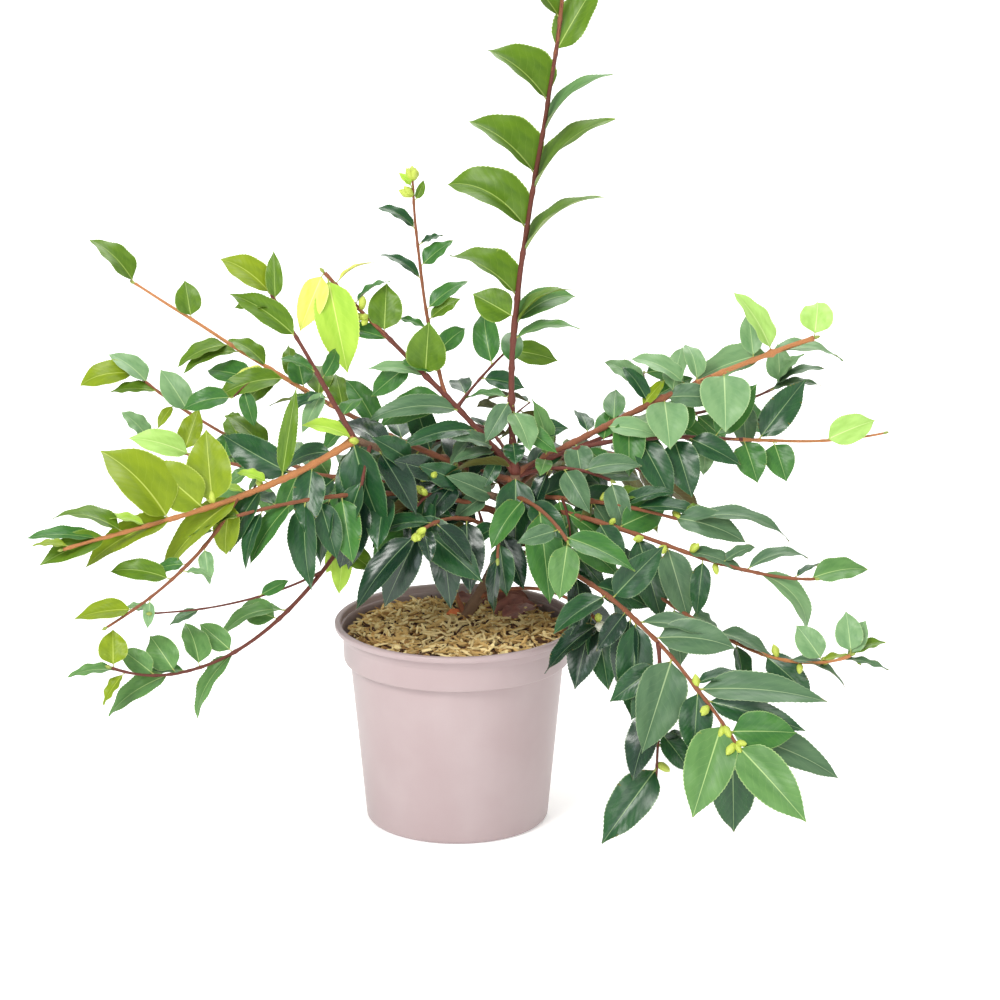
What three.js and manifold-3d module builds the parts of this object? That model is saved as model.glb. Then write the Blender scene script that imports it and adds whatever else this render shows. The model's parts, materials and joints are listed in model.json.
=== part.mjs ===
// A camellia shrub standing in its nursery pot.
// Millimetres, +Z up. The origin is the centre of the pot's flat underside,
// +X is the plant's right and +Y its back.
import * as THREE from 'three';
import { mergeVertices } from 'three/addons/utils/BufferGeometryUtils.js';
import Module from 'manifold-3d';

const wasm = await Module();
wasm.setup();

// ---------------------------------------------------------------- driving dimensions

const CLEARANCE = 0.5;          // left between neighbouring solids
const POT = {
  height: 161, rimRadius: 95.5, baseRadius: 71.5, wall: 2.4, sides: 32,
  bandBottom: 129, bandRadius: 88.5, bandTop: 151, bandFlare: 1.5, bodyTopRadius: 83.5,
  lipDepth: 8, lipWidth: 6, lipRounding: 1.2, footChamfer: 4,
  drainCount: 5, drainRadius: 5, drainCircle: 48,
};
const ROOT_BALL = { edgeHeight: 147, mound: 9, unevenness: 1.2, waves: 9, rings: 4, socket: 0.8 };

const STEPS = 48;               // integration steps along a limb
const STEEP = 0.9;              // upward share of a direction beyond which a limb counts as upright
const BOUGH = { sides: 6, spacing: 40, buried: 12 };
const PAD = {
  sides: 8, spacing: 23, tipFraction: 0.16, tipWidth: 0.12, neckFraction: 0.3, neckWidth: 0.35,
  ripple: 0.18, rippleLength: 17,
};

// The trunk leans to the right out of the root ball and ends at the fork.
const TRUNK = {
  foot: [-12, 18, 140], heading: [-20, -16], climb: [42, 68, 84], length: 156,
  radius: [6.4, 4.4], flareRadius: 9.5, flareLength: 26, cutHeight: 149, stations: 6,
};

// Every limb leaves its parent at a fraction of the parent's length. `heading` is the
// compass angle in degrees at its start and tip (0 right, 90 back, 180 left, 270 front),
// `climb` its slope in degrees at its start, middle and tip. The foliage begins at the
// fraction `from` and runs `reach` mm past the tip, `width` across and `thick` deep. Its
// sides hang `droop` lower than its middle, and each side has a lobe every `lobe` mm,
// parted to the share `open`. A pad lies flat unless it `faces` the front. A limb with no
// `radius` is too short to show outside its foliage.
const LIMBS = {
  leader: {
    parent: 'trunk', at: 1, heading: [0, 0], climb: [97, 81, 88], length: 425, radius: [2.6, 1.3],
    from: 0.26, reach: 30, width: 112, thick: 13, droop: 4, lobe: 58, open: 0.72, faces: 'front',
  },
  upper_left: {
    parent: 'trunk', at: 1, heading: [168, 169], climb: [50, 44, 46], length: 214, radius: [2.6, 1.4],
    from: 0.3, reach: 34, width: 94, thick: 14, droop: 20, lobe: 50, open: 0.45,
  },
  bud_shoot: {
    parent: 'upper_left', at: 0.38, heading: [130, 102], climb: [64, 71, 74], length: 168,
    radius: [1.5, 0.9], from: 0.4, reach: 8, width: 54, thick: 9, droop: 3, lobe: 38, open: 0.6,
    faces: 'front',
  },
  inner_up: {
    parent: 'upper_left', at: 0.32, heading: [52, 40], climb: [34, 32, 30], length: 66,
    from: 0.08, reach: 20, width: 62, thick: 12, droop: 10, lobe: 36, open: 0.4,
  },
  left_fork: {
    parent: 'trunk', at: 0.85, heading: [201, 200], climb: [22, 28, 22], length: 143,
    radius: [3.8, 3.3], from: 1,
  },
  knuckle: {
    parent: 'left_fork', at: 0.9, heading: [262, 240], climb: [-20, -56, -70], length: 62,
    from: 0.06, reach: 22, width: 80, thick: 13, droop: 4, lobe: 40, open: 0.35,
  },
  long_left: {
    parent: 'left_fork', at: 1, heading: [213, 213], climb: [-24, -8, -6], length: 255,
    radius: [3.2, 1.5], from: 0.36, reach: 22, width: 104, thick: 15, droop: 26, lobe: 50, open: 0.45,
  },
  left_under: {
    parent: 'trunk', at: 0.78, heading: [206, 212], climb: [26, 7, -6], length: 240,
    radius: [2.4, 1.3], from: 0.56, reach: 24, width: 104, thick: 14, droop: 40, lobe: 44, open: 0.4,
  },
  upper_fork: {
    parent: 'left_fork', at: 1, heading: [136, 138], climb: [50, 48, 48], length: 132,
    radius: [2.2, 1.3], from: 0.3, reach: 34, width: 88, thick: 13, droop: 14, lobe: 46, open: 0.45,
  },
  side_low: {
    parent: 'long_left', at: 0.42, heading: [232, 212], climb: [-46, -30, -22], length: 146,
    radius: [1.5, 1.0], from: 0.4, reach: 20, width: 66, thick: 11, droop: 8, lobe: 42, open: 0.55,
  },
  left_high: {
    parent: 'trunk', at: 0.96, heading: [160, 156], climb: [8, 24, 25], length: 350,
    radius: [2.8, 1.2], from: 0.36, reach: 34, width: 84, thick: 13, droop: 12, lobe: 50, open: 0.5,
  },
  left_back: {
    parent: 'trunk', at: 0.8, heading: [158, 156], climb: [-2, 12, 34], length: 338,
    radius: [2.6, 1.2], from: 0.42, reach: 28, width: 88, thick: 13, droop: 14, lobe: 50, open: 0.5,
  },
  left_mid: {
    parent: 'trunk', at: 0.76, heading: [174, 158], climb: [26, 2, 16], length: 296,
    radius: [2.5, 1.2], from: 0.42, reach: 30, width: 90, thick: 13, droop: 18, lobe: 50, open: 0.45,
  },
  low_rise: {
    parent: 'trunk', at: 0.18, heading: [214, 210], climb: [68, 51, -6], length: 143,
    radius: [3.2, 2.3], from: 1,
  },
  low_left: {
    parent: 'low_rise', at: 1, heading: [230, 212], climb: [-40, -21, 28], length: 262,
    radius: [2.2, 1.1], from: 0.46, reach: 24, width: 64, thick: 11, droop: 14, lobe: 42, open: 0.5,
  },
  right_high: {
    parent: 'trunk', at: 1, heading: [20, 17], climb: [24, 20, 14], length: 262,
    radius: [3.0, 2.3], from: 0.28, reach: 26, width: 92, thick: 14, droop: 20, lobe: 50, open: 0.4,
  },
  right_long: {
    parent: 'trunk', at: 0.99, heading: [14, 10], climb: [30, -5, 10], length: 300,
    radius: [2.3, 1.0], from: 0.38, reach: 2, width: 72, thick: 11, droop: 14, lobe: 48, open: 0.6,
  },
  right_back: {
    parent: 'right_long', at: 0.18, heading: [34, 40], climb: [16, 0, 14], length: 205,
    radius: [1.9, 1.1], from: 0.28, reach: 30, width: 84, thick: 13, droop: 14, lobe: 50, open: 0.45,
  },
  right_inner: {
    parent: 'trunk', at: 0.88, heading: [-12, -18], climb: [4, -4, -12], length: 138,
    radius: [2.0, 1.3], from: 0.3, reach: 34, width: 92, thick: 14, droop: 26, lobe: 46, open: 0.35,
  },
  right_mid: {
    parent: 'trunk', at: 0.82, heading: [-24, -18], climb: [8, -14, 6], length: 250,
    radius: [2.6, 1.2], from: 0.38, reach: 30, width: 92, thick: 13, droop: 20, lobe: 50, open: 0.5,
  },
  right_low: {
    parent: 'trunk', at: 0.6, heading: [-24, -28], climb: [22, -26, 30], length: 308,
    radius: [2.4, 1.1], from: 0.64, reach: 24, width: 70, thick: 12, droop: 14, lobe: 44, open: 0.55,
  },
  right_hanging: {
    parent: 'trunk', at: 0.6, heading: [-42, -55], climb: [6, -22, -34], length: 286,
    radius: [2.8, 1.4], from: 0.36, reach: 62, width: 146, thick: 16, droop: 44, lobe: 62, open: 0.4,
  },
  hanging_tip: {
    parent: 'right_hanging', at: 0.62, heading: [-80, -120], climb: [-52, -78, -84], length: 108,
    from: 0.15, reach: 44, width: 88, thick: 12, droop: 4, lobe: 50, open: 0.45, faces: 'front',
  },
  rim_right: {
    parent: 'trunk', at: 0.3, heading: [-34, -46], climb: [28, 4, -30], length: 128,
    radius: [1.9, 1.2], from: 0.68, reach: 38, width: 92, thick: 13, droop: 24, lobe: 44, open: 0.35,
  },
  front_left: {
    parent: 'trunk', at: 0.64, heading: [226, 234], climb: [46, 16, -16], length: 112,
    radius: [2.2, 1.4], from: 0.36, reach: 44, width: 108, thick: 14, droop: 36, lobe: 48, open: 0.35,
  },
  front_mid: {
    parent: 'trunk', at: 0.74, heading: [256, 268], climb: [20, -14, -46], length: 74,
    from: 0.14, reach: 38, width: 84, thick: 13, droop: 26, lobe: 40, open: 0.35,
  },
  front_right: {
    parent: 'trunk', at: 0.88, heading: [296, 306], climb: [12, -10, -34], length: 84,
    from: 0.14, reach: 42, width: 92, thick: 13, droop: 30, lobe: 42, open: 0.35,
  },
  heart_left: {
    parent: 'left_fork', at: 0.3, heading: [206, 190], climb: [24, 0, -30], length: 72,
    from: 0.08, reach: 30, width: 92, thick: 13, droop: 26, lobe: 40, open: 0.3,
  },
  heart_right: {
    parent: 'trunk', at: 0.98, heading: [-4, -10], climb: [26, 0, -24], length: 76,
    from: 0.1, reach: 28, width: 88, thick: 13, droop: 24, lobe: 40, open: 0.3,
  },
  heart_back: {
    parent: 'trunk', at: 1, heading: [112, 124], climb: [40, 20, -10], length: 74,
    from: 0.1, reach: 30, width: 92, thick: 13, droop: 22, lobe: 40, open: 0.3,
  },
  back_left: {
    parent: 'trunk', at: 0.92, heading: [126, 134], climb: [14, -8, -22], length: 205,
    radius: [2.4, 1.2], from: 0.3, reach: 30, width: 104, thick: 14, droop: 24, lobe: 50, open: 0.4,
  },
  back_middle: {
    parent: 'trunk', at: 0.78, heading: [98, 92], climb: [18, -8, -26], length: 215,
    radius: [2.4, 1.2], from: 0.3, reach: 30, width: 104, thick: 14, droop: 24, lobe: 50, open: 0.4,
  },
  back_right: {
    parent: 'trunk', at: 0.9, heading: [66, 58], climb: [14, -8, -22], length: 210,
    radius: [2.4, 1.2], from: 0.3, reach: 30, width: 104, thick: 14, droop: 24, lobe: 50, open: 0.4,
  },
};

// ---------------------------------------------------------------- solids and cuts

function solidFrom(geometry) {
  const bare = geometry.clone();
  bare.deleteAttribute('normal');
  bare.deleteAttribute('uv');
  const merged = mergeVertices(bare, 1e-4);
  return new wasm.Manifold(new wasm.Mesh({
    numProp: 3,
    vertProperties: new Float32Array(merged.attributes.position.array),
    triVerts: new Uint32Array(merged.index.array),
  }));
}

function geometryFrom(solid) {
  const mesh = solid.getMesh();
  const geometry = new THREE.BufferGeometry();
  geometry.setAttribute('position', new THREE.BufferAttribute(mesh.vertProperties, 3));
  geometry.setIndex(new THREE.BufferAttribute(mesh.triVerts, 1));
  geometry.computeVertexNormals();
  return geometry;
}

function largestPiece(solid) {
  const pieces = solid.decompose();
  return pieces.reduce((best, piece) => (piece.volume() > best.volume() ? piece : best));
}

function boxesMeet(a, b) {
  const one = a.boundingBox();
  const other = b.boundingBox();
  return [0, 1, 2].every((k) => one.min[k] <= other.max[k] && other.min[k] <= one.max[k]);
}

// Closed skin over a row of sections that all have the same number of points.
function loft(sections) {
  const count = sections[0].length;
  const positions = [];
  const faces = [];
  sections.flat().forEach((point) => positions.push(point.x, point.y, point.z));
  for (let row = 0; row + 1 < sections.length; row += 1) {
    for (let k = 0; k < count; k += 1) {
      const a = row * count + k;
      const b = row * count + ((k + 1) % count);
      faces.push(a, b + count, b, a, a + count, b + count);
    }
  }
  const last = (sections.length - 1) * count;
  for (let k = 1; k + 1 < count; k += 1) {
    faces.push(0, k, k + 1, last, last + k + 1, last + k);
  }
  const geometry = new THREE.BufferGeometry();
  geometry.setAttribute('position', new THREE.Float32BufferAttribute(positions, 3));
  geometry.setIndex(faces);
  return geometry;
}

// ---------------------------------------------------------------- limbs

function throughThree([start, middle, tip], t) {
  return start * (1 - t) * (1 - 2 * t) + middle * 4 * t * (1 - t) + tip * t * (2 * t - 1);
}

function directionAt(limb, t) {
  const turn = THREE.MathUtils.degToRad(THREE.MathUtils.lerp(limb.heading[0], limb.heading[1], t));
  const rise = THREE.MathUtils.degToRad(throughThree(limb.climb, t));
  return new THREE.Vector3(
    Math.cos(rise) * Math.cos(turn), Math.cos(rise) * Math.sin(turn), Math.sin(rise),
  );
}

// The limb's centre line from its start, continued straight beyond the tip.
function centreLine(limb, start) {
  const points = [start.clone()];
  for (let step = 0; step < STEPS; step += 1) {
    const stride = directionAt(limb, (step + 0.5) / STEPS).multiplyScalar(limb.length / STEPS);
    points.push(points[step].clone().add(stride));
  }
  const pointAt = (t) => {
    if (t >= 1) {
      const beyond = directionAt(limb, 1).multiplyScalar((t - 1) * limb.length);
      return points[STEPS].clone().add(beyond);
    }
    const place = Math.max(t, 0) * STEPS;
    const step = Math.min(Math.floor(place), STEPS - 1);
    return points[step].clone().lerp(points[step + 1], place - step);
  };
  return { pointAt, directionAt: (t) => directionAt(limb, Math.min(Math.max(t, 0), 1)) };
}

function across(direction, faces) {
  const reference = faces === 'front' ? new THREE.Vector3(0, -1, 0) : new THREE.Vector3(0, 0, 1);
  const side = new THREE.Vector3().crossVectors(direction, reference).normalize();
  const up = new THREE.Vector3().crossVectors(side, direction).normalize();
  return { side, up };
}

function ringAround(line, t, radius, sides) {
  const direction = line.directionAt(t);
  const { side, up } = across(direction, Math.abs(direction.z) > STEEP ? 'front' : 'up');
  return Array.from({ length: sides }, (_, k) => {
    const angle = (2 * Math.PI * k) / sides;
    return line.pointAt(t)
      .addScaledVector(side, radius * Math.cos(angle))
      .addScaledVector(up, radius * Math.sin(angle));
  });
}

// A tapering limb from its start to the fraction `end`, grown by `extra` all round.
function limbSolid(limb, line, end, extra = 0) {
  const stations = Math.max(3, Math.round((limb.length * end) / BOUGH.spacing)) + 1;
  const sections = Array.from({ length: stations }, (_, k) => {
    const t = (end * k) / (stations - 1);
    const radius = THREE.MathUtils.lerp(limb.radius[0], limb.radius[1], t);
    const past = k === stations - 1 ? extra / limb.length : 0;
    return ringAround(line, t + past, radius + extra, BOUGH.sides);
  });
  return solidFrom(loft(sections));
}

// The trunk flares towards its foot, where it is cut off flat.
function trunkSolid(line, extra = 0) {
  const { length, radius, flareRadius, flareLength, cutHeight } = TRUNK;
  const flareEnd = flareLength / length;
  const above = Array.from({ length: TRUNK.stations }, (_, k) => (
    THREE.MathUtils.lerp(flareEnd, 1, (k + 1) / TRUNK.stations)
  ));
  const places = [0, flareEnd / 2, flareEnd, ...above];
  const sections = places.map((t) => {
    const taper = THREE.MathUtils.lerp(radius[0], radius[1], t);
    const flare = Math.max(0, 1 - t / flareEnd) * (flareRadius - radius[0]);
    return ringAround(line, t, taper + flare + extra, BOUGH.sides + 1);
  });
  const block = 8 * flareRadius;
  const below = new THREE.BoxGeometry(block, block, block).translate(0, 0, cutHeight - extra - block / 2);
  return solidFrom(loft(sections)).subtract(solidFrom(below));
}

// ---------------------------------------------------------------- foliage

// Half the pad's width on one side at a distance along it: narrow at both ends, with one
// lobe for each leaf, those of the two sides taking turns.
function halfWidth(limb, along, total, sideSign) {
  const t = along / total;
  const neck = Math.min(1, PAD.neckWidth + t / PAD.neckFraction);
  const tip = Math.sqrt(Math.min(1, Math.max(0, 1 - t) / PAD.tipFraction));
  const phase = (2 * Math.PI * along) / limb.lobe + (sideSign > 0 ? 0 : Math.PI);
  const lobe = 1 - limb.open * (0.5 + 0.5 * Math.cos(phase));
  return (limb.width / 2) * neck * lobe * THREE.MathUtils.lerp(PAD.tipWidth, 1, tip);
}

function padSolid(limb, line, extra = 0) {
  const begin = limb.from;
  const finish = 1 + limb.reach / limb.length;
  const total = (finish - begin) * limb.length;
  const stations = Math.max(5, Math.round(total / PAD.spacing)) + 1;
  const sections = Array.from({ length: stations }, (_, k) => {
    const along = (total * k) / (stations - 1);
    const t = begin + along / limb.length;
    const { side, up } = across(line.directionAt(t), limb.faces);
    const tipThin = Math.sqrt(Math.min(1, (1 - along / total) / PAD.tipFraction + PAD.tipWidth));
    const ripple = 1 + PAD.ripple * Math.sin(along / PAD.rippleLength);
    const rise = (limb.thick / 2) * tipThin * ripple + extra;
    const past = (k === stations - 1 ? extra : 0) - (k === 0 ? extra : 0);
    return Array.from({ length: PAD.sides }, (__, n) => {
      const angle = (2 * Math.PI * (n + 0.5)) / PAD.sides;
      const sideways = Math.cos(angle);
      const half = halfWidth(limb, along, total, sideways) + extra;
      const hang = limb.droop * ((half * sideways) / (limb.width / 2)) ** 2;
      return line.pointAt(t + past / limb.length)
        .addScaledVector(side, half * sideways)
        .addScaledVector(up, rise * Math.sin(angle) - hang);
    });
  });
  return solidFrom(loft(sections));
}

// ---------------------------------------------------------------- pot and root ball

function lathed(profile) {
  const points = profile.map(([radius, height]) => new THREE.Vector2(radius, height));
  return new THREE.LatheGeometry(points, POT.sides).rotateX(Math.PI / 2);
}

function potSolid() {
  const { wall, height, lipDepth, lipWidth, lipRounding, rimRadius, footChamfer } = POT;
  const lipInner = rimRadius - lipWidth;
  const shell = solidFrom(lathed([
    [0, 0],
    [POT.baseRadius - footChamfer, 0],
    [POT.baseRadius, footChamfer],
    [POT.bodyTopRadius, POT.bandBottom],
    [POT.bandRadius, POT.bandBottom + lipDepth],
    [POT.bandRadius + POT.bandFlare, POT.bandTop],
    [rimRadius - lipRounding, height - lipDepth],
    [rimRadius, height - lipDepth / 2],
    [rimRadius - lipRounding, height - lipRounding / 2],
    [rimRadius - lipWidth / 2, height],
    [lipInner, height - lipRounding],
    [lipInner - lipRounding / 2, height - lipDepth],
    [POT.bandRadius - wall, POT.bandBottom + lipDepth],
    [POT.bodyTopRadius - wall, POT.bandBottom],
    [POT.baseRadius - wall, footChamfer + wall / 2],
    [POT.baseRadius - footChamfer - wall / 2, wall],
    [0, wall],
  ]));
  return Array.from({ length: POT.drainCount }, (_, k) => {
    const angle = (2 * Math.PI * k) / POT.drainCount + Math.PI / 10;
    const drill = new THREE.CylinderGeometry(POT.drainRadius, POT.drainRadius, 4 * wall, 12);
    drill.rotateX(Math.PI / 2);
    drill.translate(POT.drainCircle * Math.cos(angle), POT.drainCircle * Math.sin(angle), wall / 2);
    return solidFrom(drill);
  }).reduce((solid, drill) => solid.subtract(drill), shell);
}

function rootBallSolid() {
  const { wall, footChamfer } = POT;
  const gap = CLEARANCE;
  const edgeRadius = POT.bandRadius - wall - gap;
  const top = Array.from({ length: ROOT_BALL.rings }, (_, k) => {
    const inward = (k + 1) / (ROOT_BALL.rings + 1);
    const rise = ROOT_BALL.mound * Math.sqrt(inward);
    const wave = ROOT_BALL.unevenness * Math.sin(ROOT_BALL.waves * inward);
    return [edgeRadius * (1 - inward), ROOT_BALL.edgeHeight + rise + wave];
  });
  return solidFrom(lathed([
    [0, wall + gap],
    [POT.baseRadius - footChamfer - wall / 2 - gap, wall + gap],
    [POT.baseRadius - wall - gap, footChamfer + wall / 2 + gap],
    [POT.bodyTopRadius - wall - gap, POT.bandBottom],
    [edgeRadius, POT.bandBottom + POT.lipDepth],
    [edgeRadius, ROOT_BALL.edgeHeight],
    ...top,
    [0, ROOT_BALL.edgeHeight + ROOT_BALL.mound],
  ]));
}

// ---------------------------------------------------------------- materials

const finish = (color, roughness) => new THREE.MeshStandardMaterial({ color, roughness, metalness: 0 });
const MATERIALS = {
  pot: finish(0xd2bdba, 0.42),
  mulch: finish(0xb9925a, 0.9),
  bark: finish(0x8a5a44, 0.75),
  leaf: finish(0x3f7a45, 0.45),
  youngLeaf: finish(0x9cc53a, 0.5),
};
const YOUNG = new Set(['long_left', 'side_low', 'low_left', 'bud_shoot', 'left_back']);

// ---------------------------------------------------------------- assembly

const plant = new THREE.Group();
plant.name = 'camellia_in_pot';

function addPiece(name, solid, material) {
  const mesh = new THREE.Mesh(geometryFrom(solid), material);
  mesh.name = name;
  plant.add(mesh);
}

const trunkLine = centreLine(TRUNK, new THREE.Vector3(...TRUNK.foot));
const lines = { trunk: trunkLine };
Object.entries(LIMBS).forEach(([name, limb]) => {
  lines[name] = centreLine(limb, lines[limb.parent].pointAt(limb.at));
});

const blockers = [];            // the grown shapes of everything placed so far
function place(name, solid, grown, material) {
  const cut = blockers
    .filter((blocker) => boxesMeet(blocker, solid))
    .reduce((rest, blocker) => rest.subtract(blocker), solid);
  addPiece(name, largestPiece(cut), material);
  blockers.push(grown);
}

addPiece('pot', potSolid(), MATERIALS.pot);
const socket = trunkSolid(trunkLine, ROOT_BALL.socket);
addPiece('root_ball', largestPiece(rootBallSolid().subtract(socket)), MATERIALS.mulch);
place('trunk', trunkSolid(trunkLine), trunkSolid(trunkLine, CLEARANCE), MATERIALS.bark);

Object.entries(LIMBS).filter(([, limb]) => limb.radius).forEach(([name, limb]) => {
  const end = Math.min(1, limb.from + BOUGH.buried / limb.length);
  const line = lines[name];
  place(`bough_${name}`, limbSolid(limb, line, end), limbSolid(limb, line, end, CLEARANCE), MATERIALS.bark);
});

Object.entries(LIMBS).filter(([, limb]) => limb.width).forEach(([name, limb]) => {
  const line = lines[name];
  const material = YOUNG.has(name) ? MATERIALS.youngLeaf : MATERIALS.leaf;
  place(`foliage_${name}`, padSolid(limb, line), padSolid(limb, line, CLEARANCE), material);
});

export default plant;
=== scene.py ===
"""The finished look of a camellia shrub in its nursery pot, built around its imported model."""

import json
import logging
import math
from dataclasses import dataclass
from enum import Enum
from typing import Any, Iterable, Sequence

import bpy
import numpy as np
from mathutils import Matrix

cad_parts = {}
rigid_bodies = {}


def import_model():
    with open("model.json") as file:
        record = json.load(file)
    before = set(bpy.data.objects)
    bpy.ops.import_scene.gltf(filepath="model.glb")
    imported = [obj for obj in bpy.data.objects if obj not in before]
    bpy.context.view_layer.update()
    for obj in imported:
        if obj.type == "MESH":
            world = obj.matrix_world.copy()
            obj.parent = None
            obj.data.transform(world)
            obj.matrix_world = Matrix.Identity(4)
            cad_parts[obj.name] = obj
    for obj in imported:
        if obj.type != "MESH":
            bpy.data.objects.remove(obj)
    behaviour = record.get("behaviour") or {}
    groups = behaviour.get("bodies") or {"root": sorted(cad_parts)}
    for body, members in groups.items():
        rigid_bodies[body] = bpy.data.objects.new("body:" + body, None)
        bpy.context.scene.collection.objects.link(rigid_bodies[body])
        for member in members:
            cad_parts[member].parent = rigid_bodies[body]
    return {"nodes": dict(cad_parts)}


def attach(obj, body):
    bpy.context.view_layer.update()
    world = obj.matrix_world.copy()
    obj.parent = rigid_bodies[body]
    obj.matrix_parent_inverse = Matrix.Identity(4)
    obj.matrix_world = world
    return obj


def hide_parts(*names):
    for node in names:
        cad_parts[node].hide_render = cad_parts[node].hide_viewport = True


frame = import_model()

LOG = logging.getLogger("camellia")
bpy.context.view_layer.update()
MM = 0.001
TURN = 6.28  # a full turn, in radians
SEED = 41
PIECE_TRIANGLES = 190_000

Array = np.ndarray
Node, Socket = bpy.types.Node, bpy.types.NodeSocket
Material, Piece = bpy.types.Material, bpy.types.Object
Colour = tuple[float, float, float]
Triple = tuple[float, float, float]


# ---- small helpers


def unit(vectors: Array) -> Array:
    """Vectors scaled to length one, along their last axis."""
    return vectors / np.maximum(np.linalg.norm(vectors, axis=-1, keepdims=True), 1e-9)


def compass(heading: Array | float, climb: Array | float) -> Array:
    """The direction of a compass heading and a slope.

    Args:
        heading: Degrees, with 0 to the right, 90 to the back and 270 to the front.
        climb: Degrees above level.

    Returns:
        Unit vectors, in the last axis.
    """
    turn, rise = np.radians(heading), np.radians(climb)
    return np.stack(
        [np.cos(rise) * np.cos(turn), np.cos(rise) * np.sin(turn), np.sin(rise) + 0 * turn],
        axis=-1,
    )


def linear(red: float, green: float, blue: float) -> Colour:
    """A colour given in the usual 0 to 255 as linear light."""
    share = [v / 255 for v in (red, green, blue)]
    return tuple(v / 12.92 if v <= 0.04045 else ((v + 0.055) / 1.055) ** 2.4 for v in share)


def turned(vectors: Array, about: Array, angle: Array) -> Array:
    """Vectors turned about unit axes by angles in radians.

    Args:
        vectors: What is turned.
        about: The unit axes, of the same shape.
        angle: The angles, of that shape without its last axis.

    Returns:
        The turned vectors.
    """
    c, s = np.cos(angle)[..., None], np.sin(angle)[..., None]
    along = (vectors * about).sum(-1, keepdims=True)
    return vectors * c + np.cross(about, vectors) * s + about * along * (1 - c)


def rows_of(*parts: Array | int) -> Array:
    """Rows with one column for each part, the parts stretched to one another's shape."""
    return np.stack(np.broadcast_arrays(*parts), axis=-1).reshape(-1, len(parts))


def ring_faces(rings: int, sides: int) -> tuple[Array, Array]:
    """The faces of a closed tube: rings of points, then one point for each end.

    Args:
        rings: The number of rings.
        sides: The number of points in a ring.

    Returns:
        The corners of the quads between the rings, and of the triangles at the ends.
    """
    k = np.arange(sides)
    after = (k + 1) % sides
    row = np.arange(rings - 1)[:, None] * sides
    quads = rows_of(row + k, row + after, row + after + sides, row + k + sides)
    last, ends = (rings - 1) * sides, rings * sides
    caps = [rows_of(after, k, ends), rows_of(last + k, last + after, ends + 1)]
    return quads, np.concatenate(caps)


def put_in(name: str, data: bpy.types.ID) -> Piece:
    """Puts a mesh, a light or a camera into the scene.

    Args:
        name: The new object's name.
        data: What it holds.

    Returns:
        The new object.
    """
    thing = bpy.data.objects.new(name, data)
    bpy.context.scene.collection.objects.link(thing)
    return thing


class Stock:
    """Points and faces gathered from many small shapes that make one joined piece."""

    def __init__(self) -> None:
        """Starts empty."""
        self.points: list[Array] = []
        self.corners: list[Array] = []
        self.sizes: list[Array] = []
        self.slots: list[Array] = []
        self.maps: dict[str, list[Array]] = {}
        self.count = 0

    def add(self, points: Array, faces: Sequence[tuple[Array, int, dict[str, Array]]]) -> None:
        """Adds one shape.

        Args:
            points: Its points, in metres.
            faces: Groups of faces, each with its rows of corners, its material's number
                and its maps, given by point.
        """
        for rows, slot, maps in faces:
            self.corners.append((rows + self.count).ravel())
            self.sizes.append(np.full(len(rows), rows.shape[1]))
            self.slots.append(np.full(len(rows), slot))
            for name, values in maps.items():
                self.maps.setdefault(name, []).append(values[rows.ravel()])
        self.points.append(points)
        self.count += len(points)

    def build(self, name: str, materials: Iterable[Material], crease: float = 180.0) -> Piece:
        """Makes the piece.

        Args:
            name: The piece's name.
            materials: Its materials, in the order of the faces' numbers.
            crease: Edges that bend by more than this many degrees stay sharp.

        Returns:
            The new object, smooth shaded.
        """
        mesh = bpy.data.meshes.new(name)
        corners, sizes = np.concatenate(self.corners), np.concatenate(self.sizes)
        mesh.vertices.add(self.count)
        mesh.loops.add(len(corners))
        mesh.polygons.add(len(sizes))
        mesh.vertices.foreach_set("co", np.concatenate(self.points).astype(np.float32).ravel())
        mesh.loops.foreach_set("vertex_index", corners.astype(np.int32))
        starts = np.concatenate([[0], np.cumsum(sizes)[:-1]])
        mesh.polygons.foreach_set("loop_start", starts.astype(np.int32))
        mesh.update(calc_edges=True)
        mesh.polygons.foreach_set("material_index", np.concatenate(self.slots).astype(np.int32))
        mesh.polygons.foreach_set("use_smooth", np.ones(len(sizes), bool))
        for label, values in self.maps.items():
            layer = mesh.uv_layers.new(name=label)
            layer.uv.foreach_set("vector", np.concatenate(values).astype(np.float32).ravel())
        if crease < 180.0:
            mesh.set_sharp_from_angle(angle=math.radians(crease))
        for material in materials:
            mesh.materials.append(material)
        return put_in(name, mesh)


def hand_over(piece: Piece, replaced: Iterable[str] = ()) -> None:
    """Puts a piece on the plant's one body and reports it.

    Args:
        piece: The finished piece.
        replaced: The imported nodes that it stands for.
    """
    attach(piece, "root")
    nodes = sorted(replaced)
    if nodes:
        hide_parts(*nodes)
    LOG.info("%s: %d faces, stands for %d nodes", piece.name, len(piece.data.polygons), len(nodes))


# ---- shader building


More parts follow.
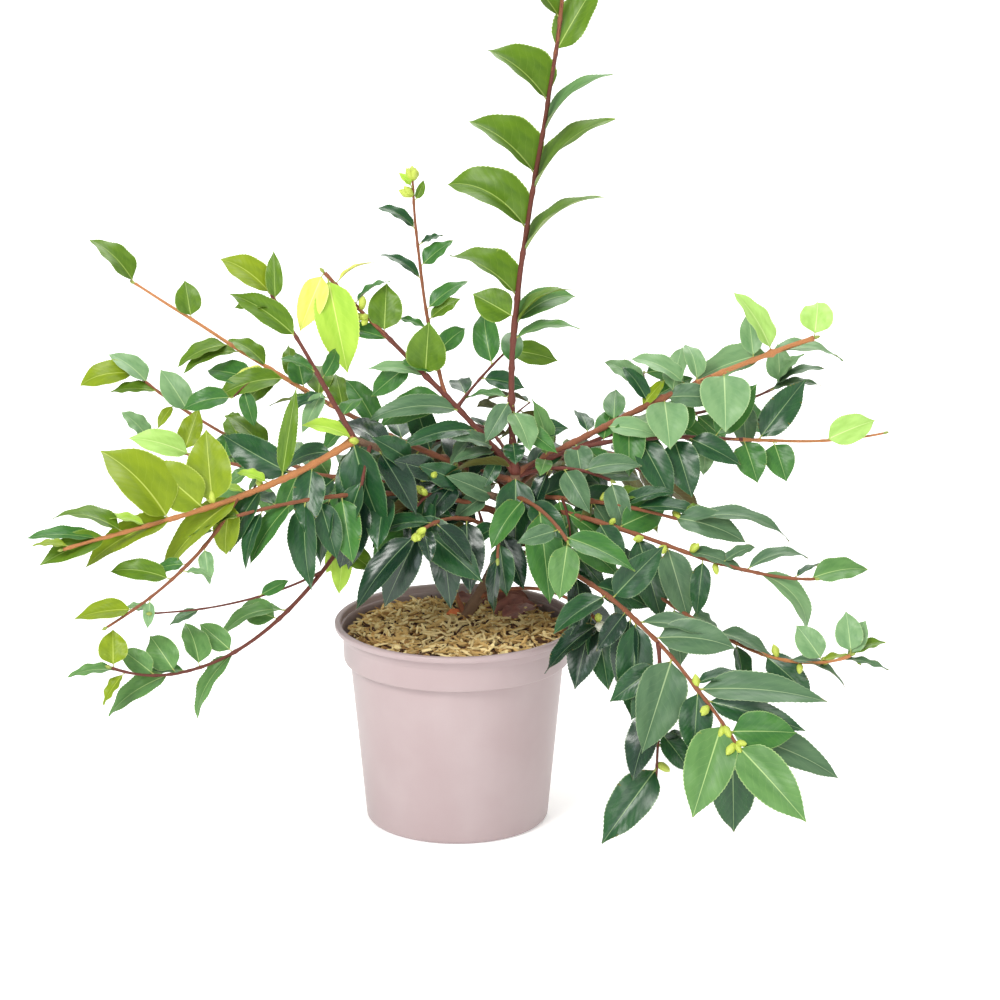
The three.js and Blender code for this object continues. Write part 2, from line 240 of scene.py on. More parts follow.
class Sketch:
    """Adds nodes to one node tree and joins their sockets."""

    def __init__(self, tree: bpy.types.NodeTree) -> None:
        """Works on the given tree."""
        self.tree = tree

    def add(self, kind: str, inputs: dict[str | int, Any] | None = None, **settings: Any) -> Node:
        """Adds a node.

        Args:
            kind: The node's type.
            inputs: Sockets to join or values to set, by input name or number.
            **settings: The node's own properties.

        Returns:
            The new node.
        """
        node = self.tree.nodes.new(kind)
        for key, value in settings.items():
            setattr(node, key, value)
        self.feed(node, inputs or {})
        return node

    def feed(self, node: Node, inputs: dict[str | int, Any]) -> None:
        """Joins sockets to a node or sets its values.

        Args:
            node: The node.
            inputs: Sockets to join or values to set, by input name or number.
        """
        for key, value in inputs.items():
            if isinstance(value, Socket):
                self.tree.links.new(value, node.inputs[key])
            else:
                node.inputs[key].default_value = value

    def math(self, operation: str, a: Any, b: Any = 0.0) -> Socket:
        """The result of a math node on two sockets or numbers."""
        return self.add("ShaderNodeMath", {0: a, 1: b}, operation=operation).outputs[0]

    def blend(self, factor: Any, a: Any, b: Any) -> Socket:
        """Colour a turning into colour b as the factor goes from 0 to 1."""
        a, b = ((*v, 1.0) if isinstance(v, tuple) and len(v) == 3 else v for v in (a, b))
        return self.add("ShaderNodeMix", {0: factor, 6: a, 7: b}, data_type="RGBA").outputs[2]

    def ramp(self, value: Any, low: float, high: float, first: float = 0, last: float = 1) -> Socket:
        """A value that goes smoothly from first to last between low and high."""
        inputs = {0: value, 1: low, 2: high, 3: first, 4: last}
        return self.add("ShaderNodeMapRange", inputs, interpolation_type="SMOOTHSTEP").outputs[0]

    def noise(
        self, vector: Any, scale: float, detail: float, stretch: Triple = (1.0, 1.0, 1.0)
    ) -> Socket:
        """A noise value.

        Args:
            vector: The place that it is read at.
            scale: How many lumps there are in one unit.
            detail: How many finer layers it has.
            stretch: Factors on the place; a small one draws the lumps out.

        Returns:
            The value's socket.
        """
        mapped = self.add("ShaderNodeVectorMath", {0: vector, 1: stretch}, operation="MULTIPLY")
        inputs = {"Vector": mapped.outputs[0], "Scale": scale, "Detail": detail}
        return self.add("ShaderNodeTexNoise", inputs).outputs[0]

    def scaled(self, vector: Socket, factor: Socket) -> Socket:
        """A vector times a factor."""
        inputs = {0: vector, "Scale": factor}
        return self.add("ShaderNodeVectorMath", inputs, operation="SCALE").outputs[0]

    def bump(self, strength: float, distance: float, height: Any) -> Socket:
        """The surface's direction, raised by a height value over a distance in metres."""
        inputs = {"Strength": strength, "Distance": distance, "Height": height}
        return self.add("ShaderNodeBump", inputs).outputs[0]


class EffectGroup:
    """A shared effect: a node group with named inputs and outputs, built once."""

    def __init__(self, name: str, inputs: dict[str, float | None], outputs: Sequence[str]) -> None:
        """Opens the group.

        Args:
            name: The group's name.
            inputs: Each input's name and first value, or None for a vector.
            outputs: The names of the values that it puts out.
        """
        self.tree = bpy.data.node_groups.new(name, "ShaderNodeTree")
        for label, value in inputs.items():
            kind = "NodeSocketVector" if value is None else "NodeSocketFloat"
            socket = self.tree.interface.new_socket(name=label, in_out="INPUT", socket_type=kind)
            if value is not None:
                socket.default_value = value
        for label in outputs:
            self.tree.interface.new_socket(name=label, in_out="OUTPUT", socket_type="NodeSocketFloat")
        self.sketch = Sketch(self.tree)
        self.entry = self.tree.nodes.new("NodeGroupInput")
        self.exit = self.tree.nodes.new("NodeGroupOutput")

    def take(self, label: str) -> Socket:
        """The socket inside the group for one of its inputs."""
        return self.entry.outputs[label]

    def give(self, label: str, socket: Socket) -> None:
        """Joins a value to one of the group's outputs."""
        self.tree.links.new(socket, self.exit.inputs[label])

    def place(self, sketch: Sketch, inputs: dict[str, Any]) -> Node:
        """Puts the group into a material with its own values."""
        return sketch.add("ShaderNodeGroup", inputs, node_tree=self.tree)


class Effects:
    """The effects that several finishes share."""

    def __init__(self) -> None:
        """Builds each group once."""
        self.blade = self._blade()
        self.grain = self._grain()
        self.dust = self._dust()

    @staticmethod
    def _blade() -> EffectGroup:
        """Midrib, side veins and mottling of a leaf, from its blade map.

        Returns:
            The group. Its height is that of the blade puffed up between its veins.
        """
        labels = ("Midrib", "Veins", "Mottle", "Height")
        group = EffectGroup("blade_pattern", {"Vector": None, "Veins": 9.0, "Slant": 0.34}, labels)
        s = group.sketch
        parts = s.add("ShaderNodeSeparateXYZ", {0: group.take("Vector")}).outputs
        out = s.math("ABSOLUTE", parts[0])
        rib_at_base, rib_at_tip = 0.042, 0.012
        width = s.ramp(parts[1], 0.0, 1.0, rib_at_base, rib_at_tip)
        midrib = s.ramp(s.math("DIVIDE", out, width), 0.45, 1.0, 1.0, 0.0)
        wander = s.noise(group.take("Vector"), 3.0, 1.0)
        bent = s.math("ADD", out, s.math("MULTIPLY", s.math("SUBTRACT", wander, 0.5), 0.3))
        place = s.math("SUBTRACT", parts[1], s.math("MULTIPLY", bent, group.take("Slant")))
        turns = s.math("FRACT", s.math("MULTIPLY", place, group.take("Veins")))
        off = s.math("ABSOLUTE", s.math("SUBTRACT", turns, 0.5))
        line = s.ramp(off, 0.0, 0.05, 1.0, 0.0)
        veins = s.math("MULTIPLY", line, s.ramp(out, 0.55, 0.95, 1.0, 0.0))
        mottle = s.noise(group.take("Vector"), 2.2, 4.0)
        fine = s.noise(group.take("Vector"), 16.0, 3.0)
        puffed = s.math("MULTIPLY", s.ramp(off, 0.0, 0.5), 0.55)
        height = s.math("ADD", puffed, s.math("MULTIPLY", fine, 0.25))
        height = s.math("SUBTRACT", height, s.math("MULTIPLY", midrib, 0.5))
        for label, socket in zip(labels, (midrib, veins, mottle, height)):
            group.give(label, socket)
        return group

    @staticmethod
    def _grain() -> EffectGroup:
        """Long fibres in lighter and darker patches, for bark and for wood chips.

        Returns:
            The group.
        """
        group = EffectGroup("long_grain", {"Vector": None, "Fineness": 1.0}, ("Fibre", "Patch"))
        s = group.sketch
        scaled = s.scaled(group.take("Vector"), group.take("Fineness"))
        fibre = s.noise(scaled, 6.0, 5.0, (1.0, 0.16, 1.0))
        group.give("Fibre", s.ramp(fibre, 0.32, 0.68))
        group.give("Patch", s.noise(scaled, 1.4, 3.0, (1.0, 0.5, 1.0)))
        return group

    @staticmethod
    def _dust() -> EffectGroup:
        """Soft uneven dust with fine specks, for the pot and the floor.

        Returns:
            The group.
        """
        group = EffectGroup("soft_dust", {"Vector": None, "Spread": 1.0}, ("Cloud", "Speck"))
        s = group.sketch
        scaled = s.scaled(group.take("Vector"), group.take("Spread"))
        group.give("Cloud", s.noise(scaled, 9.0, 4.0))
        specks = s.add("ShaderNodeTexVoronoi", {"Vector": scaled, "Scale": 420.0}).outputs[0]
        group.give("Speck", s.ramp(specks, 0.05, 0.16, 1.0, 0.0))
        return group


def new_material(name: str) -> tuple[Material, Sketch, Node]:
    """Opens a node material.

    Args:
        name: The material's name.

    Returns:
        The material, its sketch and its Principled shader.
    """
    material = bpy.data.materials.new(name)
    material.use_nodes = True
    sketch = Sketch(material.node_tree)
    return material, sketch, material.node_tree.nodes["Principled BSDF"]


@dataclass(frozen=True)
class LeafFinish:
    """One side of a leaf: its colours and its gloss."""

    base: Colour
    shade: Colour
    vein: Colour
    roughness: float = 0.36
    sheen: float = 0.22
    coat: float = 0.0
    vein_strength: float = 0.1
    relief: float = 0.16
    # how far the margin is lightened: partly the leaf's paler edge, partly a painted highlight along its
    # teeth
    rim: float = 0.6

    def dress(self, name: str, effects: Effects) -> Material:
        """Makes the material.

        Args:
            name: The material's name.
            effects: The shared effects.

        Returns:
            A leaf material that reads the blade map.
        """
        material, s, shader = new_material(name)
        blade = s.add("ShaderNodeUVMap", uv_map="Blade").outputs[0]
        pattern = effects.blade.place(s, {"Vector": blade}).outputs
        mottle = s.ramp(pattern["Mottle"], 0.3, 0.7)
        colour = s.blend(mottle, self.base, self.shade)
        colour = s.blend(s.math("MULTIPLY", pattern["Veins"], self.vein_strength), colour, self.vein)
        colour = s.blend(s.math("MULTIPLY", pattern["Midrib"], 0.75), colour, self.vein)
        edge = s.add("ShaderNodeUVMap", uv_map="Edge").outputs[0]
        across = s.add("ShaderNodeSeparateXYZ", {0: edge}).outputs[0]
        off = s.math("ABSOLUTE", s.math("SUBTRACT", across, 0.5))
        # The margin is lightened towards the vein colour: partly the leaf's paler edge, partly a painted
        # highlight along the toothed edge.
        margin = s.ramp(off, 0.465, 0.5, 0.0, self.rim)
        colour = s.blend(margin, colour, self.vein)
        rough = s.ramp(pattern["Mottle"], 0.2, 0.8, self.roughness - 0.05, self.roughness + 0.09)
        s.feed(shader, {
            "Base Color": colour,
            "Roughness": rough,
            "Specular IOR Level": self.sheen,
            "Coat Weight": self.coat,
            "Coat Roughness": 0.22,
            "Normal": s.bump(self.relief, 0.6 * MM, pattern["Height"]),
        })
        return material


@dataclass(frozen=True)
class StemFinish:
    """The skin of a stem: two colours along its fibres and how rough it is."""

    base: Colour
    streak: Colour
    roughness: float = 0.5
    fineness: float = 1.0
    relief: float = 0.5

    def dress(self, name: str, effects: Effects) -> Material:
        """Makes the material from the stem's own map of millimetres round and along.

        Args:
            name: The material's name.
            effects: The shared effects.

        Returns:
            The material.
        """
        material, s, shader = new_material(name)
        skin = s.add("ShaderNodeUVMap", uv_map="Skin").outputs[0]
        grain = effects.grain.place(s, {"Vector": skin, "Fineness": self.fineness}).outputs
        amount = s.math("MULTIPLY", grain["Fibre"], 0.7)
        colour = s.blend(amount, self.base, self.streak)
        shaded = s.blend(s.ramp(grain["Patch"], 0.35, 0.75, 0.0, 0.5), colour, self.base)
        rough = s.ramp(grain["Patch"], 0.2, 0.8, self.roughness - 0.08, self.roughness + 0.12)
        bump = s.bump(self.relief, 0.6 * MM, grain["Fibre"])
        s.feed(shader, {"Base Color": shaded, "Roughness": rough, "Normal": bump})
        return material


@dataclass(frozen=True)
class PlasticFinish:
    """Satin moulded plastic with a faint bloom of dust."""

    base: Colour = linear(161, 143, 144)
    bloom: Colour = linear(173, 159, 160)
    speck: Colour = linear(150, 132, 128)
    roughness: float = 0.36
    sheen: float = 0.45

    def dress(self, name: str, effects: Effects) -> Material:
        """Makes the material from the object's own coordinates.

        Args:
            name: The material's name.
            effects: The shared effects.

        Returns:
            The material.
        """
        material, s, shader = new_material(name)
        place = s.add("ShaderNodeTexCoord").outputs["Object"]
        dust = effects.dust.place(s, {"Vector": place, "Spread": 2.0}).outputs
        flow = s.noise(place, 26.0, 3.0, (1.0, 1.0, 0.12))
        cloud = s.math("ADD", s.math("MULTIPLY", dust["Cloud"], 0.7), s.math("MULTIPLY", flow, 0.3))
        colour = s.blend(s.ramp(cloud, 0.35, 0.7, 0.0, 0.5), self.base, self.bloom)
        colour = s.blend(s.math("MULTIPLY", dust["Speck"], 0.12), colour, self.speck)
        s.feed(shader, {
            "Base Color": colour,
            "Roughness": s.ramp(cloud, 0.3, 0.7, self.roughness - 0.04, self.roughness + 0.1),
            "Specular IOR Level": self.sheen,
            "Normal": s.bump(0.12, 0.4 * MM, s.noise(place, 900.0, 2.0)),
        })
        return material


@dataclass(frozen=True)
class EarthFinish:
    """Damp compost that shows in the gaps between the chips."""

    base: Colour = linear(66, 46, 30)
    light: Colour = linear(122, 92, 58)

    def dress(self, name: str, effects: Effects) -> Material:
        """Makes the material from the object's own coordinates.

        Args:
            name: The material's name.
            effects: The shared effects.

        Returns:
            The material.
        """
        material, s, shader = new_material(name)
        place = s.add("ShaderNodeTexCoord").outputs["Object"]
        grain = effects.grain.place(s, {"Vector": place, "Fineness": 60.0}).outputs
        colour = s.blend(s.math("MULTIPLY", grain["Fibre"], 0.6), self.base, self.light)
        rough = s.ramp(grain["Patch"], 0.2, 0.8, 0.8, 0.98)
        bump = s.bump(0.8, 2 * MM, grain["Fibre"])
        s.feed(shader, {"Base Color": colour, "Roughness": rough, "Normal": bump})
        return material


# ---- tones


class Tone(Enum):
    """The leaf colours, from the oldest to the youngest, and the dead one."""

    DEEP = "deep"
    DARK = "dark"
    MID = "mid"
    BRIGHT = "bright"
    FRESH = "fresh"
    GREY = "grey"
    MIST = "mist"
    OLIVE = "olive"
    LIME = "lime"
    PALE = "pale"
    YELLOW = "yellow"
    DEAD = "dead"


DEEP, DARK, MID, BRIGHT, FRESH, GREY, MIST, OLIVE, LIME, PALE, YELLOW, DEAD = Tone


def leaf_pair(
    top: Triple, shade: Triple, vein: Triple, under: Triple, **gloss: float
) -> tuple[LeafFinish, LeafFinish]:
    """The finishes of a leaf's two sides, from colours in 0 to 255.

    Args:
        top: The upper side's colour.
        shade: Its darker mottling.
        vein: The veins and the margin, on both sides.
        under: The underside's colour.
        **gloss: The upper side's roughness, sheen and coat.

    Returns:
        The upper side's finish and the underside's.
    """
    dim = tuple(0.86 * v for v in under)
    back = LeafFinish(
        linear(*under), linear(*dim), linear(*vein), roughness=0.55, sheen=0.2,
        vein_strength=0.3, relief=0.3,
    )
    return LeafFinish(linear(*top), linear(*shade), linear(*vein), **gloss), back


# The grey-green of GREY and MIST and the touch of blue in DEEP, DARK and MID are partly the leaves' own
# colour, partly a painted sky reflection on their gloss.
FINISHES: dict[Tone, tuple[LeafFinish, LeafFinish]] = {
    DEEP: leaf_pair(
        (22, 54, 33), (14, 40, 28), (118, 144, 104), (92, 82, 42),
        roughness=0.25, sheen=0.42, coat=0.24,
    ),
    DARK: leaf_pair(
        (38, 80, 42), (25, 62, 37), (132, 160, 108), (100, 98, 46),
        roughness=0.29, sheen=0.32, coat=0.1,
    ),
    MID: leaf_pair(
        (66, 114, 50), (50, 97, 45), (154, 182, 112), (110, 124, 52), roughness=0.32, coat=0.05
    ),
    BRIGHT: leaf_pair((94, 134, 74), (76, 116, 62), (172, 198, 128), (124, 148, 72), roughness=0.35),
    FRESH: leaf_pair((90, 122, 30), (72, 104, 26), (166, 188, 98), (126, 150, 56)),
    # GREY and MIST: partly the leaves' own grey-green, partly a painted sky reflection on the gloss.
    GREY: leaf_pair((86, 116, 82), (66, 96, 68), (156, 178, 132), (116, 108, 62), roughness=0.34),
    MIST: leaf_pair((120, 154, 106), (100, 138, 92), (178, 204, 146), (128, 152, 94)),
    OLIVE: leaf_pair((124, 144, 26), (106, 128, 24), (182, 196, 92), (132, 148, 48), roughness=0.38),
    LIME: leaf_pair((164, 198, 70), (142, 182, 56), (212, 226, 124), (158, 186, 72), roughness=0.4),
    PALE: leaf_pair((166, 204, 110), (146, 186, 90), (210, 228, 156), (160, 192, 100), roughness=0.42),
    YELLOW: leaf_pair((220, 222, 108), (196, 212, 84), (236, 238, 160), (216, 214, 110), roughness=0.42),
    DEAD: leaf_pair((140, 92, 82), (112, 72, 66), (160, 116, 98), (128, 92, 78), roughness=0.6),
}


class Skin(Enum):
    """The stem colours."""

    WOOD = "wood"
    MAROON = "maroon"
    RUSSET = "russet"
    TAN = "tan"


WOOD, MAROON, RUSSET, TAN = Skin
SKINS: dict[Skin, StemFinish] = {
    WOOD: StemFinish(linear(122, 92, 70), linear(172, 140, 110), 0.72, 1.0, 0.9),
    MAROON: StemFinish(linear(84, 36, 28), linear(128, 62, 42), 0.58, 1.6, 0.4),
    RUSSET: StemFinish(linear(120, 66, 42), linear(164, 104, 66), 0.6, 1.4, 0.5),
    TAN: StemFinish(linear(180, 112, 64), linear(214, 154, 98), 0.6, 1.3, 0.6),
}


# ---- the shrub's growth


class Facing(Enum):
    """Where the upper side of a leaf is turned: right, back and up shares."""

    FRONT = (0.0, -0.85, 0.5)
    SKY = (0.0, -0.25, 0.95)
    FRONT_SKY = (0.0, -0.6, 0.8)
    FRONT_LEFT = (-0.45, -0.6, 0.6)
    FRONT_RIGHT = (0.4, -0.65, 0.6)
    HALF_OPEN = (0.6, -0.55, 0.6)
    EDGE_ON = (-0.6, -0.06, 0.7)
    BEHIND = (0.0, 0.5, 0.85)
    BEHIND_LEFT = (-0.35, 0.45, 0.8)
    BEHIND_RIGHT = (0.35, 0.45, 0.8)


(
    FRONT, SKY, FRONT_SKY, FRONT_LEFT, FRONT_RIGHT, HALF_OPEN, EDGE_ON, BEHIND, BEHIND_LEFT,
    BEHIND_RIGHT,
) = Facing


@dataclass(frozen=True)
class Habit:
    """How leaves stand on a shoot.

    Pairs give the upper or left rank first, then the lower or right one. Lengths are in
    millimetres and angles in degrees.
    """

    first: float = 0.3
    last: float = 1.0
    gap: float = 25.0
    size: Triple = (56.0, 64.0, 50.0)
    tones: tuple[Tone, ...] = (DARK, MID)
    sag: float = 0.15
    tilt: float = 40.0
    face: Facing = FRONT_SKY
    spread: tuple[float, float] = (54.0, 54.0)
    plump: float = 0.5
    recurve: float = 42.0
    fold: float = 24.0
    loose: float = 16.0
    twigs: int = 0


@dataclass(frozen=True)
class SetLeaf:
    """A leaf with a pose of its own: where it sits, where it points and what it faces."""

    at: float
    heading: float
    climb: float
    length: float
    tone: Tone
    face: Facing = FRONT_SKY
    recurve: float = 35.0
    plump: float = 0.46
    fold: float = 26.0


@dataclass(frozen=True)
class Shoot:
    """One limb: where it starts, its course, thickness, skin, leaves and flower buds.

    The course is that of the limb's solid, except for front_mid and heart_left. Heading,
    climb and radius go from the limb's foot to its tip; the skin is young past ripe_to.
    """

    name: str
    parent: str
    at: float
    heading: tuple[float, float]
    climb: Triple
    length: float
    radius: tuple[float, float]
    skin: Skin = MAROON
    habit: Habit | None = None
    leaves: tuple[SetLeaf, ...] = ()
    buds: tuple[tuple[float, float, float, int], ...] = ()
    bough: bool = True
    mass: bool = True
    young_skin: Skin | None = None
    ripe_to: float = 0.6

    def nodes(self) -> tuple[list[str], list[str]]:
        """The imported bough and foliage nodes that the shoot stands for."""
        bough = ["trunk"] if self.name == "trunk" else [f"bough_{self.name}"] * self.bough
        return bough, [f"foliage_{self.name}"] * self.mass

    def direction(self, t: Array) -> Array:
        """The limb's direction.

        Args:
            t: Fractions of its length.

        Returns:
            Unit vectors.
        """
        heading = self.heading[0] + (self.heading[1] - self.heading[0]) * t
        low, middle, high = self.climb
        climb = low * (1 - t) * (1 - 2 * t) + middle * 4 * t * (1 - t) + high * t * (2 * t - 1)
        return compass(heading, climb)


class Course:
    """A shoot's centre line, in metres."""

    STEPS = 48

    def __init__(self, shoot: Shoot, start: Array) -> None:
        """Follows the shoot's headings and slopes.

        Args:
            shoot: The shoot.
            start: Where it starts, in metres.
        """
        self.shoot = shoot
        middle = (np.arange(self.STEPS) + 0.5) / self.STEPS
        strides = shoot.direction(middle) * shoot.length * MM / self.STEPS
        self.points = np.vstack([start, start + np.cumsum(strides, axis=0)])
        self.length = shoot.length * MM

    def point(self, t: Array | float) -> Array:
        """The place at a fraction of the length."""
        steps = np.linspace(0, 1, self.STEPS + 1)
        return np.stack([np.interp(t, steps, self.points[:, k]) for k in range(3)], axis=-1)

    def direction(self, t: Array | float) -> Array:
        """The direction at a fraction of the length."""
        return self.shoot.direction(np.clip(np.asarray(t, float), 0, 1))

    def radius(self, t: Array | float) -> Array:
        """The thickness at a fraction of the length, as a radius."""
        low, high = self.shoot.radius
        return (low + (high - low) * np.asarray(t, float)) * MM


TRUNK = Shoot("trunk", "", 0.0, (-20, -16), (42, 68, 84), 156, (4.6, 3.9), WOOD, mass=False)
TRUNK_FOOT = np.array([-12.0, 18.0, 140.0]) * MM
GREENS = (DEEP, DARK, MID, DARK, DEEP)


def poses(*rows: tuple[Any, ...]) -> tuple[SetLeaf, ...]:
    """Leaves from rows of place, heading, climb, length, tone and, if need be, the rest."""
    return tuple(SetLeaf(*row) for row in rows)


